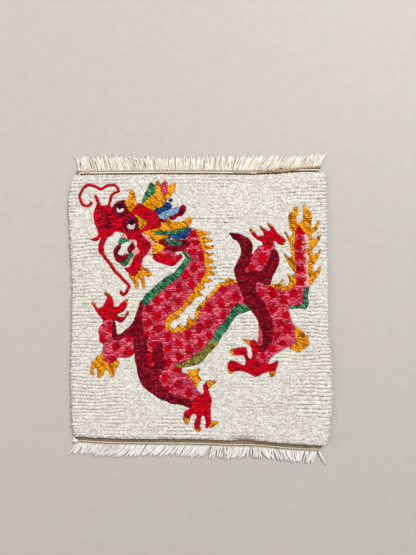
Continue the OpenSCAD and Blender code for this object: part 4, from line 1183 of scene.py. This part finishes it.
# beside: where the strands of one cord start, from the cord's middle
fringe(
    "fringe_top", 1, HEAD_COMB, stretch=1.17, pieces=2, beside=(-1.7 * MM, 0.0, 1.7 * MM),
    clumping=0.2, yarn=YARNS["fringe_cotton"],
)
fringe(
    "fringe_bottom", -1, TAIL_COMB, stretch=1.02, pieces=1, beside=(-1.25 * MM, 1.25 * MM),
    clumping=0.65, yarn=YARNS["tail_cotton"],
)

# where a loose yarn starts and stops across the mat, then in millimetres how far past the
# pile it starts and stops, and its height
LOOSE_PITCH = 9 * MM
LOOSE_R = 1.5 * MM
LOOSE_ENDS = [
    (0.085, 0.185, 6.5, 8.0, 6.0), (0.150, 0.205, 7.0, 14.5, 7.5), (0.165, 0.216, 14.0, 6.0, 8.8),
    (0.200, 0.298, 8.5, 13.5, 8.0), (0.185, 0.262, 6.5, 9.5, 6.6), (-0.298, -0.266, 9.5, 7.0, 6.4),
]


def loose_ends():
    """Beige twining yarns that have come loose and lie along the roots of the head fringe."""
    parts, tints = [], []
    for x0, x1, rise0, rise1, height in LOOSE_ENDS:
        x = np.linspace(x0, x1, int((x1 - x0) / MM))
        t = (x - x0) / (x1 - x0)
        y = np.interp(x, ACROSS, HEAD_END) + (rise0 + (rise1 - rise0) * t) * MM
        y = y + 2.6 * MM * smooth_noise(x, x * 0, 19 * MM, int(abs(x0) * 1000))
        for k in range(2):
            a = 2 * math.pi * (k / 2 + (x - x0) / LOOSE_PITCH)
            p = np.stack([x, y + np.cos(a) * 1.15 * MM, height * MM + np.sin(a) * 0.8 * MM], 1)
            thick = LOOSE_R * (1 + 0.2 * smooth_noise(x, x * 0, 7 * MM, 50 + k))
            parts.append(tube(p, thick * (1 - 0.5 * ramp(t, 0.93, 1.0)), PLY_SIDES))
            tints.append(np.full(len(parts[-1][0]), -0.5 + 1.5 * k))
    v, f = joined(parts)
    # painted shade on the low parts of the loose yarns
    high_up = 0.2 + 0.7 * ramp(v[:, 2], 4.5 * MM, 8.5 * MM)
    return build("yarn_loose_ends", v, f, {"tint": np.concatenate(tints), "depth": high_up})


finish_piece(loose_ends(), YARNS["loose_cotton"], None)

# -------------------- woven ground


# the ground's mesh step, height and relief, and how far it stays inside the border
GROUND_STEP = 2.0 * MM
GROUND_MIDDLE = 1.3 * MM
GROUND_RELIEF = 0.5 * MM
GROUND_INSET = 2.0 * MM


def ground():
    """The woven ground as one thin cloth with its weave in relief."""
    box_low, box_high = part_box("ground_weave")
    xs = np.arange(box_low[0], box_high[0] + GROUND_STEP, GROUND_STEP)
    ys = np.arange(box_low[1], box_high[1] + GROUND_STEP, GROUND_STEP)
    x, y = np.meshgrid(xs, ys, indexing="ij")
    i, j = cell_of(x, y)
    inside = (label[i, j] >= 0) & (to_rim[i, j] > GROUND_INSET)
    over = np.add.outer(np.arange(len(xs)), np.arange(len(ys))) % 2 == 0
    z = GROUND_MIDDLE + GROUND_RELIEF * np.where(over, 1, -1)
    index = np.full(x.shape, -1)
    index[inside] = np.arange(inside.sum())
    v = np.stack([x, y, z], -1)[inside]
    a, b, c, d = index[:-1, :-1], index[1:, :-1], index[1:, 1:], index[:-1, 1:]
    ok = (a >= 0) & (b >= 0) & (c >= 0) & (d >= 0)
    f = np.stack([a[ok], b[ok], c[ok], d[ok]], 1)
    tints = 0.5 + 0.5 * smooth_noise(v[:, 0], v[:, 1], 5 * MM, 12)
    return build("woven_ground", v, [f], {"tint": tints, "depth": np.ones(len(v))})


cloth = finish_piece(ground(), YARNS["ground_cotton"], "ground_weave")

# -------------------- floor


FLOOR_HALF = 40.0


def make_floor():
    """A plain grey floor, which is staging and not part of the mat."""
    me = bpy.data.meshes.new("floor")
    s = FLOOR_HALF
    me.from_pydata([(-s, -s, 0), (s, -s, 0), (s, s, 0), (-s, s, 0)], [], [(0, 1, 2, 3)])
    obj = bpy.data.objects.new("floor", me)
    bpy.context.collection.objects.link(obj)
    net = Net("floor_paint")
    grain = net.noise(40.0, 4.0)
    paint = net.mix(grain, linear((176, 170, 162)), linear((186, 180, 172)))
    net.put(net.out.inputs["Base Color"], paint)
    net.out.inputs["Roughness"].default_value = 0.7
    me.materials.append(net.mat)


make_floor()
